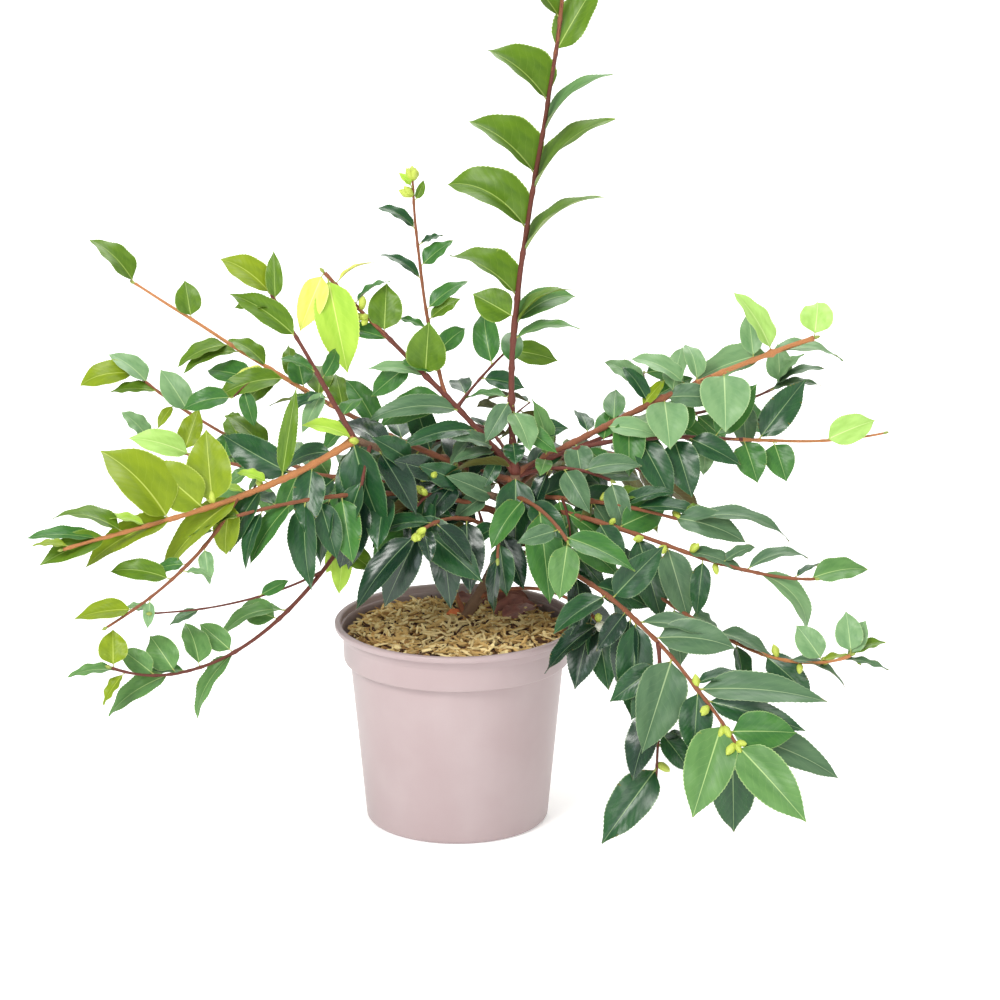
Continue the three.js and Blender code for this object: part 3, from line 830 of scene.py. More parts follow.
LEFT_SHOOTS: tuple[Shoot, ...] = (
    Shoot(
        "upper_left", "trunk", 1, (168, 169), (50, 44, 46), 214, (2.5, 1.3), MAROON,
        Habit(0.12, 0.55, 20, (50, 48, 34), (DEEP, DARK, MID, MID), tilt=70),
        poses(
            (1.0, 235, -50, 46, YELLOW, FRONT, 30, 0.5), (0.98, 300, -65, 72, LIME, FRONT, 25, 0.5),
            (0.94, 5, 50, 34, YELLOW, EDGE_ON, 60, 0.35), (0.84, 15, 50, 30, MID, EDGE_ON, 50, 0.45),
            (0.69, 80, 75, 36, FRESH, FRONT, 20, 0.8), (0.66, 175, 20, 46, MID, FRONT_SKY, 40, 0.35),
            (0.48, 280, 70, 42, FRESH, FRONT, 20, 0.8), (0.47, 190, 25, 44, MIST, SKY, 40, 0.35),
            (0.3, 210, 20, 75, GREY, FRONT_SKY, 70, 0.28),
            (0.2, 220, 15, 70, DARK, FRONT_SKY, 60, 0.25), (0.2, 220, -25, 35, GREY, FRONT_LEFT, 50),
            (0.12, 225, 30, 40, GREY, FRONT_SKY, 40, 0.5), (0.1, 220, 10, 40, GREY, SKY, 30, 0.4),
            (0.08, 235, -40, 25, DARK, FRONT, 30, 0.5),
        ),
        buds=((0.78, 250, 0, 3), (0.81, 200, 40, 1)),
        young_skin=RUSSET, ripe_to=0.7,
    ),
    Shoot(
        "bud_shoot", "upper_left", 0.38, (130, 102), (64, 71, 74), 168, (1.5, 0.9), RUSSET,
        Habit(0.1, 0.35, 16, (36, 32, 30), (MID, MID, FRESH), tilt=90),
        poses(
            (0.77, 180, 50, 36, DARK, HALF_OPEN, 70, 0.35), (0.54, 180, 50, 36, DARK, HALF_OPEN, 60, 0.32),
            (0.6, 5, 45, 30, MID, FRONT_SKY, 30, 0.6), (0.4, 5, 45, 38, MID, FRONT_SKY, 50, 0.42),
            (0.7, 10, 30, 18, DARK, SKY, 30), (0.3, 180, 35, 26, MID, SKY, 40, 0.35),
            (0.9, 0, 60, 16, FRESH, HALF_OPEN, 40), (0.96, 190, 60, 14, LIME, HALF_OPEN, 40),
        ),
        buds=((1.0, 90, 70, 5), (0.93, 180, 50, 2)),
    ),
    Shoot(
        "inner_up", "upper_left", 0.32, (52, 40), (34, 32, 30), 66, (1.3, 0.9), MAROON,
        Habit(0.2, 1.0, 16, (40, 44, 30), (DARK, MID, FRESH)), bough=False,
    ),
    Shoot(
        "left_fork", "trunk", 0.85, (201, 200), (22, 28, 22), 143, (2.6, 2.5), WOOD,
        Habit(0.4, 0.8, 24, (46, 46, 44), GREENS, tilt=30),
        poses(
            (1.0, 300, -60, 75, DARK, FRONT_LEFT, 30, 0.5), (0.85, 320, -45, 55, DEEP, FRONT_RIGHT, 15, 0.5),
            (0.95, 240, -60, 60, DARK, FRONT_LEFT, 30), (0.99, 200, 35, 40, LIME, SKY, 40),
            (0.15, 220, -20, 30, GREY, FRONT, 25, 0.6), (0.1, 220, 30, 46, GREY, FRONT, 20, 0.45),
            (0.28, 220, 30, 46, DARK, FRONT, 20, 0.45), (0.45, 225, 25, 46, DEEP, FRONT, 20, 0.45),
            (0.62, 225, 35, 44, DARK, FRONT, 15, 0.5), (0.35, 240, -20, 44, DEEP, FRONT, 30, 0.5),
        ),
        mass=False,
        buds=((0.96, 190, 40, 2), (0.5, 270, -30, 2)),
    ),
    Shoot(
        "knuckle", "left_fork", 0.9, (262, 240), (-20, -56, -70), 62, (1.3, 0.9), MAROON,
        None, poses((0.5, 225, -60, 55, DARK, FRONT_LEFT, 30), (1.0, 200, -70, 40, DEEP, FRONT, 30)),
        bough=False,
    ),
    Shoot(
        "long_left", "left_fork", 1, (213, 213), (-24, -8, -6), 255, (2.7, 1.2), TAN,
        Habit(0.08, 0.5, 17, (52, 54, 50), (DARK, MID, FRESH, OLIVE), tilt=60),
        poses(
            (0.65, 178, 60, 70, OLIVE, HALF_OPEN, 45, 0.8), (0.53, 190, 45, 52, OLIVE, FRONT, 30, 0.7),
            (0.5, 120, 80, 54, OLIVE, FRONT, 30, 0.68), (0.8, 180, 35, 54, FRESH, SKY, 65, 0.5),
            (0.88, 182, 12, 52, MID, SKY, 30, 0.36), (0.85, 205, -8, 52, FRESH, FRONT_SKY, 30),
            (0.63, 205, -8, 76, OLIVE, FRONT_LEFT, 50, 0.36),
            (0.41, 215, -22, 86, OLIVE, FRONT_LEFT, 45, 0.38),
            (0.26, 30, 80, 66, FRESH, FRONT, 20, 0.22), (0.33, 222, -40, 52, DARK, FRONT_LEFT, 40),
            (0.97, 190, 15, 26, OLIVE, SKY, 30), (0.72, 190, 25, 34, LIME, SKY, 40),
            (0.38, 175, 20, 28, LIME, SKY, 40, 0.4), (0.3, 190, 35, 24, LIME, SKY, 40, 0.5),
        ),
        buds=((0.5, 120, 60, 2), (0.34, 100, 40, 1)),
    ),
    Shoot(
        "left_under", "trunk", 0.78, (206, 212), (26, 7, -6), 240, (2.1, 1.2), RUSSET,
        Habit(0.25, 0.45, 18, (50, 50, 46), (DEEP, DARK, DARK), 0.45),
        poses(
            (0.75, 265, -65, 65, DARK, FRONT_LEFT, 30, 0.45), (0.62, 285, -50, 50, MID, FRONT, 30, 0.52),
            (0.9, 235, -45, 45, DARK, FRONT_LEFT, 40, 0.35), (0.97, 200, 0, 44, FRESH, SKY, 50),
            (0.7, 300, -55, 45, DARK, FRONT, 25, 0.5), (0.8, 225, -30, 55, MID, FRONT_LEFT, 35, 0.4),
            (0.55, 250, -60, 55, DEEP, FRONT, 30), (0.85, 130, 10, 40, DARK, SKY, 40),
            (0.66, 240, -60, 50, DARK, FRONT_LEFT, 30),
        ),
    ),
    Shoot(
        "upper_fork", "left_fork", 1, (136, 138), (50, 48, 48), 132, (2.0, 1.2), MAROON,
        Habit(0.15, 0.4, 14, (36, 36, 34), (MID, DARK, MID), tilt=60),
        poses(
            (0.7, 180, 45, 60, FRESH, FRONT_SKY, 50, 0.42), (1.0, 175, 50, 46, OLIVE, HALF_OPEN, 50, 0.62),
            (0.95, 100, 78, 36, FRESH, FRONT, 20, 0.4), (0.9, 190, 20, 34, FRESH, SKY, 50),
            (0.45, 185, 35, 30, MID, SKY, 40), (0.35, 225, -50, 35, MIST, FRONT, 30, 0.4),
        ),
    ),
    Shoot(
        "side_low", "long_left", 0.42, (232, 212), (-46, -30, -22), 146, (1.5, 1.0), RUSSET,
        Habit(0.2, 0.45, 18, (26, 28, 24), (MIST, MID), tilt=60),
        poses(
            (0.57, 190, 25, 46, FRESH, FRONT_SKY, 60, 0.42), (0.83, 195, 5, 42, OLIVE, FRONT_SKY, 40, 0.5),
            (0.5, 340, 5, 22, MIST, SKY, 30), (0.72, 260, -60, 20, MIST, FRONT, 30),
        ),
    ),
    Shoot(
        "left_high", "trunk", 0.96, (160, 156), (8, 24, 25), 350, (2.4, 1.1), RUSSET,
        Habit(0.2, 0.6, 13, (48, 40, 32), (DARK, MID, FRESH), tilt=60, twigs=1),
        poses(
            (1.0, 178, 60, 48, FRESH, HALF_OPEN, 50, 0.6), (0.84, 140, 78, 28, FRESH, FRONT, 30, 0.8),
            (0.73, 200, 0, 44, FRESH, SKY, 50, 0.5), (0.7, 200, 5, 50, FRESH, SKY, 60, 0.35),
            (0.63, 170, 50, 36, FRESH, SKY, 50, 0.55), (0.58, 200, 5, 58, FRESH, FRONT_SKY, 65, 0.4),
            (0.53, 120, 65, 28, MID, FRONT, 30, 0.8), (0.62, 205, -10, 34, YELLOW, FRONT, 40, 0.45),
            (0.46, 190, 20, 46, MID, SKY, 50),
        ),
        young_skin=TAN, ripe_to=0.5,
    ),
    Shoot(
        "left_back", "trunk", 0.8, (158, 156), (-2, 12, 34), 338, (2.2, 1.0), RUSSET,
        Habit(0.2, 0.7, 14, (46, 38, 28), (DARK, MID, BRIGHT, FRESH), tilt=50, twigs=1),
        poses(
            (1.0, 195, 10, 46, OLIVE, FRONT_SKY, 70, 0.5), (0.96, 160, 45, 40, MIST, SKY, 40, 0.6),
            (0.93, 185, 15, 36, FRESH, SKY, 40), (0.84, 150, 55, 40, MIST, FRONT_SKY, 30, 0.6),
            (0.62, 175, 58, 44, FRESH, HALF_OPEN, 50, 0.6), (0.88, 230, -30, 22, OLIVE, SKY, 30),
        ),
    ),
    Shoot(
        "left_mid", "trunk", 0.76, (174, 158), (26, 2, 16), 296, (2.1, 1.0), RUSSET,
        Habit(0.2, 0.75, 16, (44, 36, 26), (MID, DARK, MID, BRIGHT), tilt=50, twigs=1),
        poses(
            (1.0, 175, 55, 30, MIST, SKY, 30, 0.65), (0.9, 45, 65, 34, OLIVE, FRONT, 20, 0.6),
            (0.88, 190, 28, 48, PALE, FRONT_SKY, 40, 0.52), (0.78, 90, 50, 24, MID, FRONT, 20, 0.85),
        ),
    ),
    Shoot(
        "low_rise", "trunk", 0.18, (214, 210), (68, 51, -6), 143, (2.0, 1.7), RUSSET, mass=False,
    ),
    Shoot(
        "low_left", "low_rise", 1, (230, 212), (-40, -21, 28), 262, (1.9, 0.9), MAROON,
        None,
        poses(
            (0.05, 200, -55, 34, LIME, FRONT, 30, 0.5), (0.08, 255, -65, 38, LIME, FRONT, 30, 0.45),
            (0.1, 315, -15, 32, FRESH, FRONT, 30, 0.6), (0.36, 195, 10, 62, BRIGHT, SKY, 90, 0.3),
            (0.4, 160, 15, 32, BRIGHT, FRONT, 40, 0.7), (0.57, 215, -30, 60, BRIGHT, FRONT_LEFT, 70, 0.28),
            (0.58, 165, 40, 32, BRIGHT, FRONT, 40, 0.6), (0.7, 110, 65, 34, BRIGHT, HALF_OPEN, 40, 0.75),
            (0.78, 150, 50, 34, BRIGHT, FRONT, 40, 0.75), (0.8, 200, -15, 56, BRIGHT, FRONT_SKY, 60, 0.4),
            (0.85, 175, 40, 30, BRIGHT, FRONT, 40, 0.65),
            (0.74, 190, 10, 40, MID, SKY, 60, 0.4), (0.97, 190, 10, 36, BRIGHT, SKY, 40, 0.35),
            (0.99, 95, 70, 26, OLIVE, FRONT, 20, 0.9), (0.95, 215, -40, 26, OLIVE, FRONT_LEFT, 30),
        ),
    ),
)

RIGHT_SHOOTS: tuple[Shoot, ...] = (
    Shoot(
        "right_high", "trunk", 1, (20, 17), (24, 20, 14), 262, (2.4, 1.9), RUSSET,
        Habit(0.14, 0.62, 13, (40, 42, 38), (DARK, MID, BRIGHT, MIST), 0.2),
        poses(
            (0.86, 172, 68, 54, PALE, HALF_OPEN, 35, 0.52), (1.0, 70, 70, 30, PALE, FRONT, 60, 0.95),
            (0.86, 30, 5, 72, MIST, SKY, 45, 0.34), (0.86, 165, -15, 72, MIST, FRONT_SKY, 35, 0.45),
            (0.7, 270, -30, 50, MIST, FRONT, 40, 0.85), (0.5, 275, -30, 42, MIST, FRONT, 40, 0.85),
            (0.58, 178, 45, 48, MIST, SKY, 55, 0.5), (0.45, 150, 60, 34, DARK, SKY, 40),
            (0.8, 100, 60, 38, MIST, FRONT, 30, 0.5), (0.42, 30, 45, 30, OLIVE, FRONT, 30, 0.35),
            (0.38, 270, -45, 46, MID, FRONT, 30, 0.6), (0.1, 270, 65, 50, BRIGHT, FRONT_RIGHT, 40, 0.4),
            (0.2, 280, -35, 30, GREY, FRONT, 40, 0.8), (0.1, 260, -10, 20, BRIGHT, FRONT, 30, 0.7),
            (0.3, 340, 5, 40, MIST, FRONT_SKY, 40, 0.5), (0.5, 350, 10, 40, GREY, FRONT_SKY, 40, 0.55),
        ),
        young_skin=TAN, ripe_to=0.62,
    ),
    Shoot(
        "right_long", "trunk", 0.99, (14, 10), (30, -5, 10), 300, (2.1, 0.9), MAROON,
        Habit(0.12, 0.5, 20, (42, 40, 36), (DARK, MID, BRIGHT), 0.3),
        poses(
            (0.84, 5, 25, 42, PALE, FRONT, 40, 0.6), (0.7, 290, -40, 32, MID, FRONT, 30, 0.8),
            (0.62, 290, -40, 34, MID, FRONT, 30, 0.8), (0.34, 300, -35, 54, DARK, FRONT, 35, 0.5),
            (0.43, 290, -40, 48, DARK, FRONT, 35, 0.62), (0.47, 330, -15, 44, DARK, FRONT, 35, 0.5),
            (0.54, 20, 50, 52, MID, FRONT, 25, 0.48), (0.66, 15, 52, 58, DARK, FRONT, 25, 0.46),
            (0.44, 70, 65, 32, MID, FRONT, 20, 0.8), (0.3, 30, 35, 38, MIST, SKY, 40, 0.6),
            (0.52, 260, -55, 26, MIST, FRONT, 30, 0.6),
        ),
        young_skin=TAN,
    ),
    Shoot(
        "right_back", "right_long", 0.18, (34, 40), (16, 0, 14), 205, (1.7, 1.0), MAROON,
        Habit(0.15, 0.9, 18, (42, 40, 32), (DARK, MID, MIST, MID), twigs=1),
        poses(
            (1.0, 100, 75, 30, MIST, FRONT, 20, 0.75), (0.98, 15, 65, 32, MIST, EDGE_ON, 40, 0.5),
            (0.96, 0, 45, 44, GREY, EDGE_ON, 60, 0.34), (0.94, 355, 25, 40, GREY, SKY, 50, 0.34),
            (0.8, 275, -50, 36, GREY, FRONT, 30, 0.6),
        ),
    ),
    Shoot(
        "right_inner", "trunk", 0.88, (-12, -18), (4, -4, -12), 138, (1.8, 1.2), RUSSET,
        Habit(0.15, 0.5, 15, (46, 46, 42), (DARK, MID, DARK, DARK), 0.35, twigs=1),
        poses(
            (1.0, 350, 20, 84, GREY, SKY, 75, 0.26), (0.92, 335, 0, 58, GREY, FRONT_SKY, 45, 0.5),
            (0.55, 20, 25, 30, FRESH, FRONT_SKY, 40, 0.55), (0.45, 250, -65, 35, DARK, BEHIND, 20, 0.55),
            (0.45, 330, -50, 42, GREY, FRONT_RIGHT, 25), (0.7, 355, 10, 56, DARK, SKY, 50, 0.42),
            (0.62, 10, 25, 42, DARK, SKY, 40), (1.0, 60, 40, 22, FRESH, SKY, 60, 0.4),
        ),
        buds=((0.98, 60, 40, 2), (0.5, 60, 60, 1)),
    ),
    Shoot(
        "right_mid", "trunk", 0.82, (-24, -18), (8, -14, 6), 250, (2.2, 1.1), RUSSET,
        Habit(0.2, 0.45, 19, (50, 48, 38), (DARK, DARK, MID), 0.3),
        poses(
            (0.78, 10, 35, 52, GREY, SKY, 75, 0.32), (0.98, 5, 20, 46, BRIGHT, FRONT_SKY, 50, 0.5),
            (0.93, 20, 30, 30, DARK, SKY, 40, 0.35), (0.82, 340, -15, 62, MIST, SKY, 90, 0.36),
            (0.42, 305, -60, 66, DARK, FRONT, 25, 0.45), (0.52, 305, -60, 56, GREY, FRONT, 25, 0.5),
            (0.15, 310, -40, 30, BRIGHT, FRONT, 25, 0.55), (0.7, 15, 35, 28, GREY, SKY, 40, 0.4),
            (0.64, 255, -65, 42, DARK, FRONT, 30, 0.4), (0.58, 340, 0, 46, GREY, SKY, 40, 0.4),
        ),
        buds=(
            (0.45, 80, 50, 1), (0.52, 250, -50, 2), (0.6, 60, 50, 2), (0.68, 250, -60, 1),
            (0.33, 70, 40, 1),
        ),
    ),
    Shoot(
        "right_low", "trunk", 0.6, (-24, -28), (22, -26, 30), 308, (2.0, 1.0), RUSSET,
        Habit(0.25, 0.55, 21, (50, 48, 40), (DARK, DEEP, GREY), 0.4),
        poses(
            (0.62, 335, -5, 58, GREY, SKY, 55, 0.45), (0.76, 320, -25, 48, DARK, FRONT, 45, 0.5),
            (0.82, 335, 10, 50, GREY, SKY, 75, 0.32), (0.9, 355, 25, 34, OLIVE, SKY, 75, 0.3),
            (1.0, 110, 72, 30, MIST, FRONT, 20, 0.75), (0.99, 30, 60, 28, MIST, FRONT, 30, 0.6),
            (0.98, 10, 35, 32, FRESH, SKY, 50, 0.4), (0.97, 350, 0, 34, GREY, SKY, 30, 0.22),
            (0.92, 150, 50, 32, MIST, FRONT, 30, 0.7), (0.68, 290, -45, 32, DARK, BEHIND, 20, 0.7),
            (0.2, 330, -40, 35, DARK, FRONT, 20, 0.5),
        ),
        buds=((0.8, 90, 50, 1), (0.86, 250, -50, 1), (0.92, 100, 40, 1)),
        young_skin=TAN, ripe_to=0.75,
    ),
    Shoot(
        "right_hanging", "trunk", 0.6, (-42, -55), (6, -22, -34), 286, (2.1, 1.2), RUSSET,
        Habit(0.2, 0.4, 19, (52, 52, 50), (DEEP, DARK, DARK), 0.45),
        poses(
            (0.53, 345, 5, 64, GREY, SKY, 35, 0.4), (0.6, 345, 10, 60, GREY, FRONT_SKY, 50, 0.5),
            (0.52, 265, -62, 72, DARK, FRONT, 25, 0.42), (0.48, 235, -25, 38, DEEP, FRONT, 30),
            (0.68, 245, -45, 74, GREY, FRONT, 25, 0.56), (0.8, 340, 10, 96, GREY, FRONT_SKY, 35, 0.32),
            (0.95, 350, 5, 48, MID, FRONT, 30, 0.66), (0.92, 245, -45, 72, BRIGHT, FRONT, 25, 0.56),
            (1.0, 310, -25, 76, BRIGHT, FRONT, 25, 0.48), (0.95, 0, -15, 94, GREY, FRONT_SKY, 35, 0.36),
            (0.97, 75, -80, 84, DARK, FRONT, 15, 0.44), (0.5, 245, -70, 62, DEEP, FRONT_LEFT, 25),
            (0.8, 262, -60, 46, DARK, FRONT, 30, 0.6), (0.78, 5, 20, 46, DARK, SKY, 50, 0.4),
            (0.42, 350, 50, 54, DARK, FRONT, 30, 0.5), (0.4, 220, -10, 52, DARK, FRONT_LEFT, 30, 0.5),
            (0.84, 335, -5, 76, DARK, FRONT, 40, 0.3),
        ),
        buds=((0.8, 70, 40, 1), (0.86, 240, -40, 2), (0.93, 245, -60, 3), (0.99, 290, -30, 4)),
    ),
    Shoot(
        "hanging_tip", "right_hanging", 0.62, (-80, -120), (-52, -78, -84), 108, (1.4, 0.9),
        MAROON, Habit(0.3, 0.6, 22, (44, 44, 44), (DEEP, DARK), 0.3),
        poses(
            (0.88, 220, -40, 68, DARK, FRONT, 25, 0.5), (0.45, 225, -50, 56, DEEP, FRONT_LEFT, 30, 0.55),
            (0.7, 10, 20, 30, DARK, SKY, 40), (0.15, 200, -30, 44, DARK, FRONT, 30, 0.5),
            (0.2, 215, -50, 40, DARK, FRONT, 30, 0.45),
        ),
        bough=False,
        buds=((0.85, 10, -20, 1), (0.3, 20, 0, 2)),
    ),
    Shoot(
        "rim_right", "trunk", 0.3, (-34, -46), (28, 4, -30), 128, (1.7, 1.1), RUSSET,
        Habit(0.75, 1.0, 15, (44, 46, 44), (DEEP, DARK), 0.5),
        poses(
            (1.0, 215, -20, 56, DEEP, FRONT_LEFT, 35), (0.93, 250, -48, 56, DEEP, FRONT, 30, 0.5),
            (0.97, 290, -60, 52, DARK, FRONT, 30, 0.5),
        ),
        buds=((0.99, 300, 40, 1),),
    ),
    Shoot(
        "back_left", "trunk", 0.92, (126, 134), (14, -8, -22), 205, (2.2, 1.1), RUSSET,
        Habit(0.2, 1.0, 15, (52, 56, 46), GREENS, 0.3, face=BEHIND_LEFT, twigs=2),
    ),
    Shoot(
        "back_middle", "trunk", 0.78, (98, 92), (18, -8, -26), 215, (2.2, 1.1), RUSSET,
        Habit(0.2, 1.0, 15, (54, 58, 48), GREENS, 0.3, face=BEHIND, twigs=2),
    ),
    Shoot(
        "back_right", "trunk", 0.9, (66, 58), (14, -8, -22), 210, (2.2, 1.1), RUSSET,
        Habit(0.2, 1.0, 15, (52, 56, 46), GREENS, 0.3, face=BEHIND_RIGHT, twigs=2),
    ),
)

MIDDLE_SHOOTS: tuple[Shoot, ...] = (
    Shoot(
        "leader", "trunk", 1, (0, 0), (97, 81, 88), 425, (2.5, 1.3), MAROON, None,
        poses(
            (0.69, 180, 55, 58, FRESH, HALF_OPEN, 45, 0.92, 42),
            (0.555, 180, 55, 64, FRESH, HALF_OPEN, 50, 0.84, 42),
            (0.455, 180, 55, 74, FRESH, HALF_OPEN, 80, 0.64, 42),
            (0.33, 180, 50, 60, FRESH, HALF_OPEN, 60, 0.74, 42),
            (0.78, 0, 62, 66, FRESH, FRONT, 40, 0.44), (0.63, 0, 66, 70, BRIGHT, EDGE_ON, 60, 0.42),
            (0.525, 0, 66, 84, FRESH, EDGE_ON, 58, 0.46), (0.41, 0, 62, 76, FRESH, EDGE_ON, 64, 0.46),
            (0.27, 0, 64, 54, FRESH, EDGE_ON, 72, 0.5), (0.28, 20, 40, 54, BRIGHT, SKY, 60, 0.5),
            (0.25, 350, 32, 50, BRIGHT, SKY, 55, 0.36), (0.29, 170, 30, 34, FRESH, FRONT, 20, 0.85),
            (0.84, 180, 58, 56, FRESH, HALF_OPEN, 45, 0.58, 28), (0.9, 0, 64, 48, FRESH, EDGE_ON, 55),
            (0.95, 182, 62, 40, LIME, HALF_OPEN, 45, 0.5), (0.985, 10, 72, 34, LIME, EDGE_ON, 40),
            (0.1, 330, -25, 40, MID, FRONT, 30, 0.42), (0.12, 300, -30, 35, MIST, FRONT_RIGHT, 35, 0.75),
            (0.14, 225, -45, 35, GREY, FRONT, 25, 0.5), (0.06, 275, -20, 20, DARK, FRONT, 40, 0.9),
            (0.01, 195, 15, 62, DARK, BEHIND, 50, 0.4), (0.0, 270, -60, 60, DARK, FRONT, 20, 0.55),
            (0.05, 20, 30, 46, DARK, SKY, 50), (0.14, 160, 10, 40, MID, SKY, 50, 0.35),
            (0.2, 90, 40, 40, MID, BEHIND, 40),
        ),
        young_skin=RUSSET, ripe_to=0.8,
    ),
    Shoot(
        "front_left", "trunk", 0.64, (226, 234), (46, 16, -16), 112, (1.8, 1.2), RUSSET,
        Habit(0.3, 0.9, 14, (52, 52, 48), (DEEP, DARK, DEEP), 0.4, twigs=1),
        poses(
            (1.0, 210, -35, 70, DEEP, FRONT_LEFT, 30, 0.4), (0.97, 210, -60, 60, DEEP, FRONT, 20, 0.45),
            (0.72, 290, -70, 65, DEEP, FRONT, 20, 0.4), (0.78, 325, -30, 40, DEEP, FRONT_RIGHT, 30, 0.55),
            (0.8, 190, 10, 44, DARK, SKY, 50),
        ),
        buds=((1.0, 280, -10, 3), (0.93, 260, 0, 2)),
    ),
    Shoot(
        "front_mid", "trunk", 0.74, (256, 268), (20, -14, -46), 58, (1.5, 1.0), RUSSET,
        Habit(0.3, 0.6, 14, (48, 50, 46), (DEEP, DARK, MID), 0.4),
        poses(
            (0.95, 235, -75, 44, DEEP, FRONT_LEFT, 20, 0.36), (0.5, 320, -60, 45, DEEP, FRONT, 20, 0.5),
            (0.7, 290, -65, 40, DARK, FRONT, 20, 0.5),
            (0.3, 225, 0, 40, DARK, SKY, 50, 0.5),
        ),
        bough=False,
    ),
    Shoot(
        "front_right", "trunk", 0.88, (296, 306), (12, -10, -34), 84, (1.7, 1.2), RUSSET,
        Habit(0.1, 0.25, 14, (46, 46, 44), (DARK, MID), 0.35),
        poses(
            (0.5, 290, -70, 70, MID, FRONT, 20, 0.45), (1.0, 250, -65, 42, BRIGHT, FRONT, 25, 0.6),
            (0.3, 310, -20, 44, DARK, FRONT, 30, 0.5),
            (0.95, 325, -5, 60, MID, FRONT_SKY, 35, 0.45), (0.85, 210, -5, 32, GREY, FRONT, 25, 0.5),
        ),
        bough=False,
    ),
    Shoot(
        "heart_left", "left_fork", 0.3, (215, 225), (15, -15, -50), 60, (1.4, 1.1), MAROON,
        Habit(0.2, 0.6, 14, (40, 42, 40), (DEEP, DARK, DEEP), 0.4, face=BEHIND),
        poses(
            (1.0, 330, -30, 72, DARK, FRONT, 30, 0.46), (0.85, 235, -60, 30, DEEP, FRONT_LEFT, 30, 0.4),
            (0.75, 230, 20, 20, MIST, FRONT, 20, 0.8), (0.1, 205, 5, 44, DEEP, SKY, 40, 0.5),
        ),
        bough=False,
        buds=((1.0, 245, -50, 3), (0.96, 300, -40, 2), (0.62, 200, 50, 2)),
    ),
    Shoot(
        "heart_right", "trunk", 0.98, (-4, -10), (26, 0, -24), 76, (1.5, 1.1), MAROON,
        Habit(0.2, 1.0, 13, (40, 44, 40), (DARK, MID, DEEP, GREY), 0.3),
        poses(
            (0.35, 225, -55, 35, DEEP, FRONT_LEFT, 20, 0.5), (0.5, 300, -30, 40, GREY, FRONT, 35, 0.55),
            (0.15, 60, 30, 40, DARK, SKY, 40), (0.7, 350, 20, 44, GREY, FRONT_SKY, 50),
        ),
        bough=False,
    ),
    Shoot(
        "heart_back", "trunk", 1, (112, 124), (40, 20, -10), 74, (1.5, 1.1), MAROON,
        Habit(0.15, 1.0, 12, (46, 50, 46), GREENS, 0.3, face=BEHIND, twigs=2), bough=False,
    ),
)
BARE_TWIG = Shoot(
    "bare_twig", "low_left", 0.2, (222, 216), (-12, 0, 8), 158, (1.0, 0.7), MAROON, None,
    poses(
        (0.4, 30, 20, 26, MID, FRONT, 20, 0.4), (0.72, 200, -15, 24, GREY, FRONT_SKY, 30, 0.4),
        (0.97, 170, 20, 22, MIST, SKY, 30),
    ),
    bough=False, mass=False,
)
SHOOTS = (*LEFT_SHOOTS, *RIGHT_SHOOTS, *MIDDLE_SHOOTS, BARE_TWIG)


@dataclass
class Leaf:
    """One leaf, ready to be shaped. Lengths are in metres and angles in radians."""

    node: Array
    base: Array
    axis: Array
    normal: Array
    length: float
    plump: float
    fold: float
    recurve: float
    twist: float
    wave: float
    tone: Tone


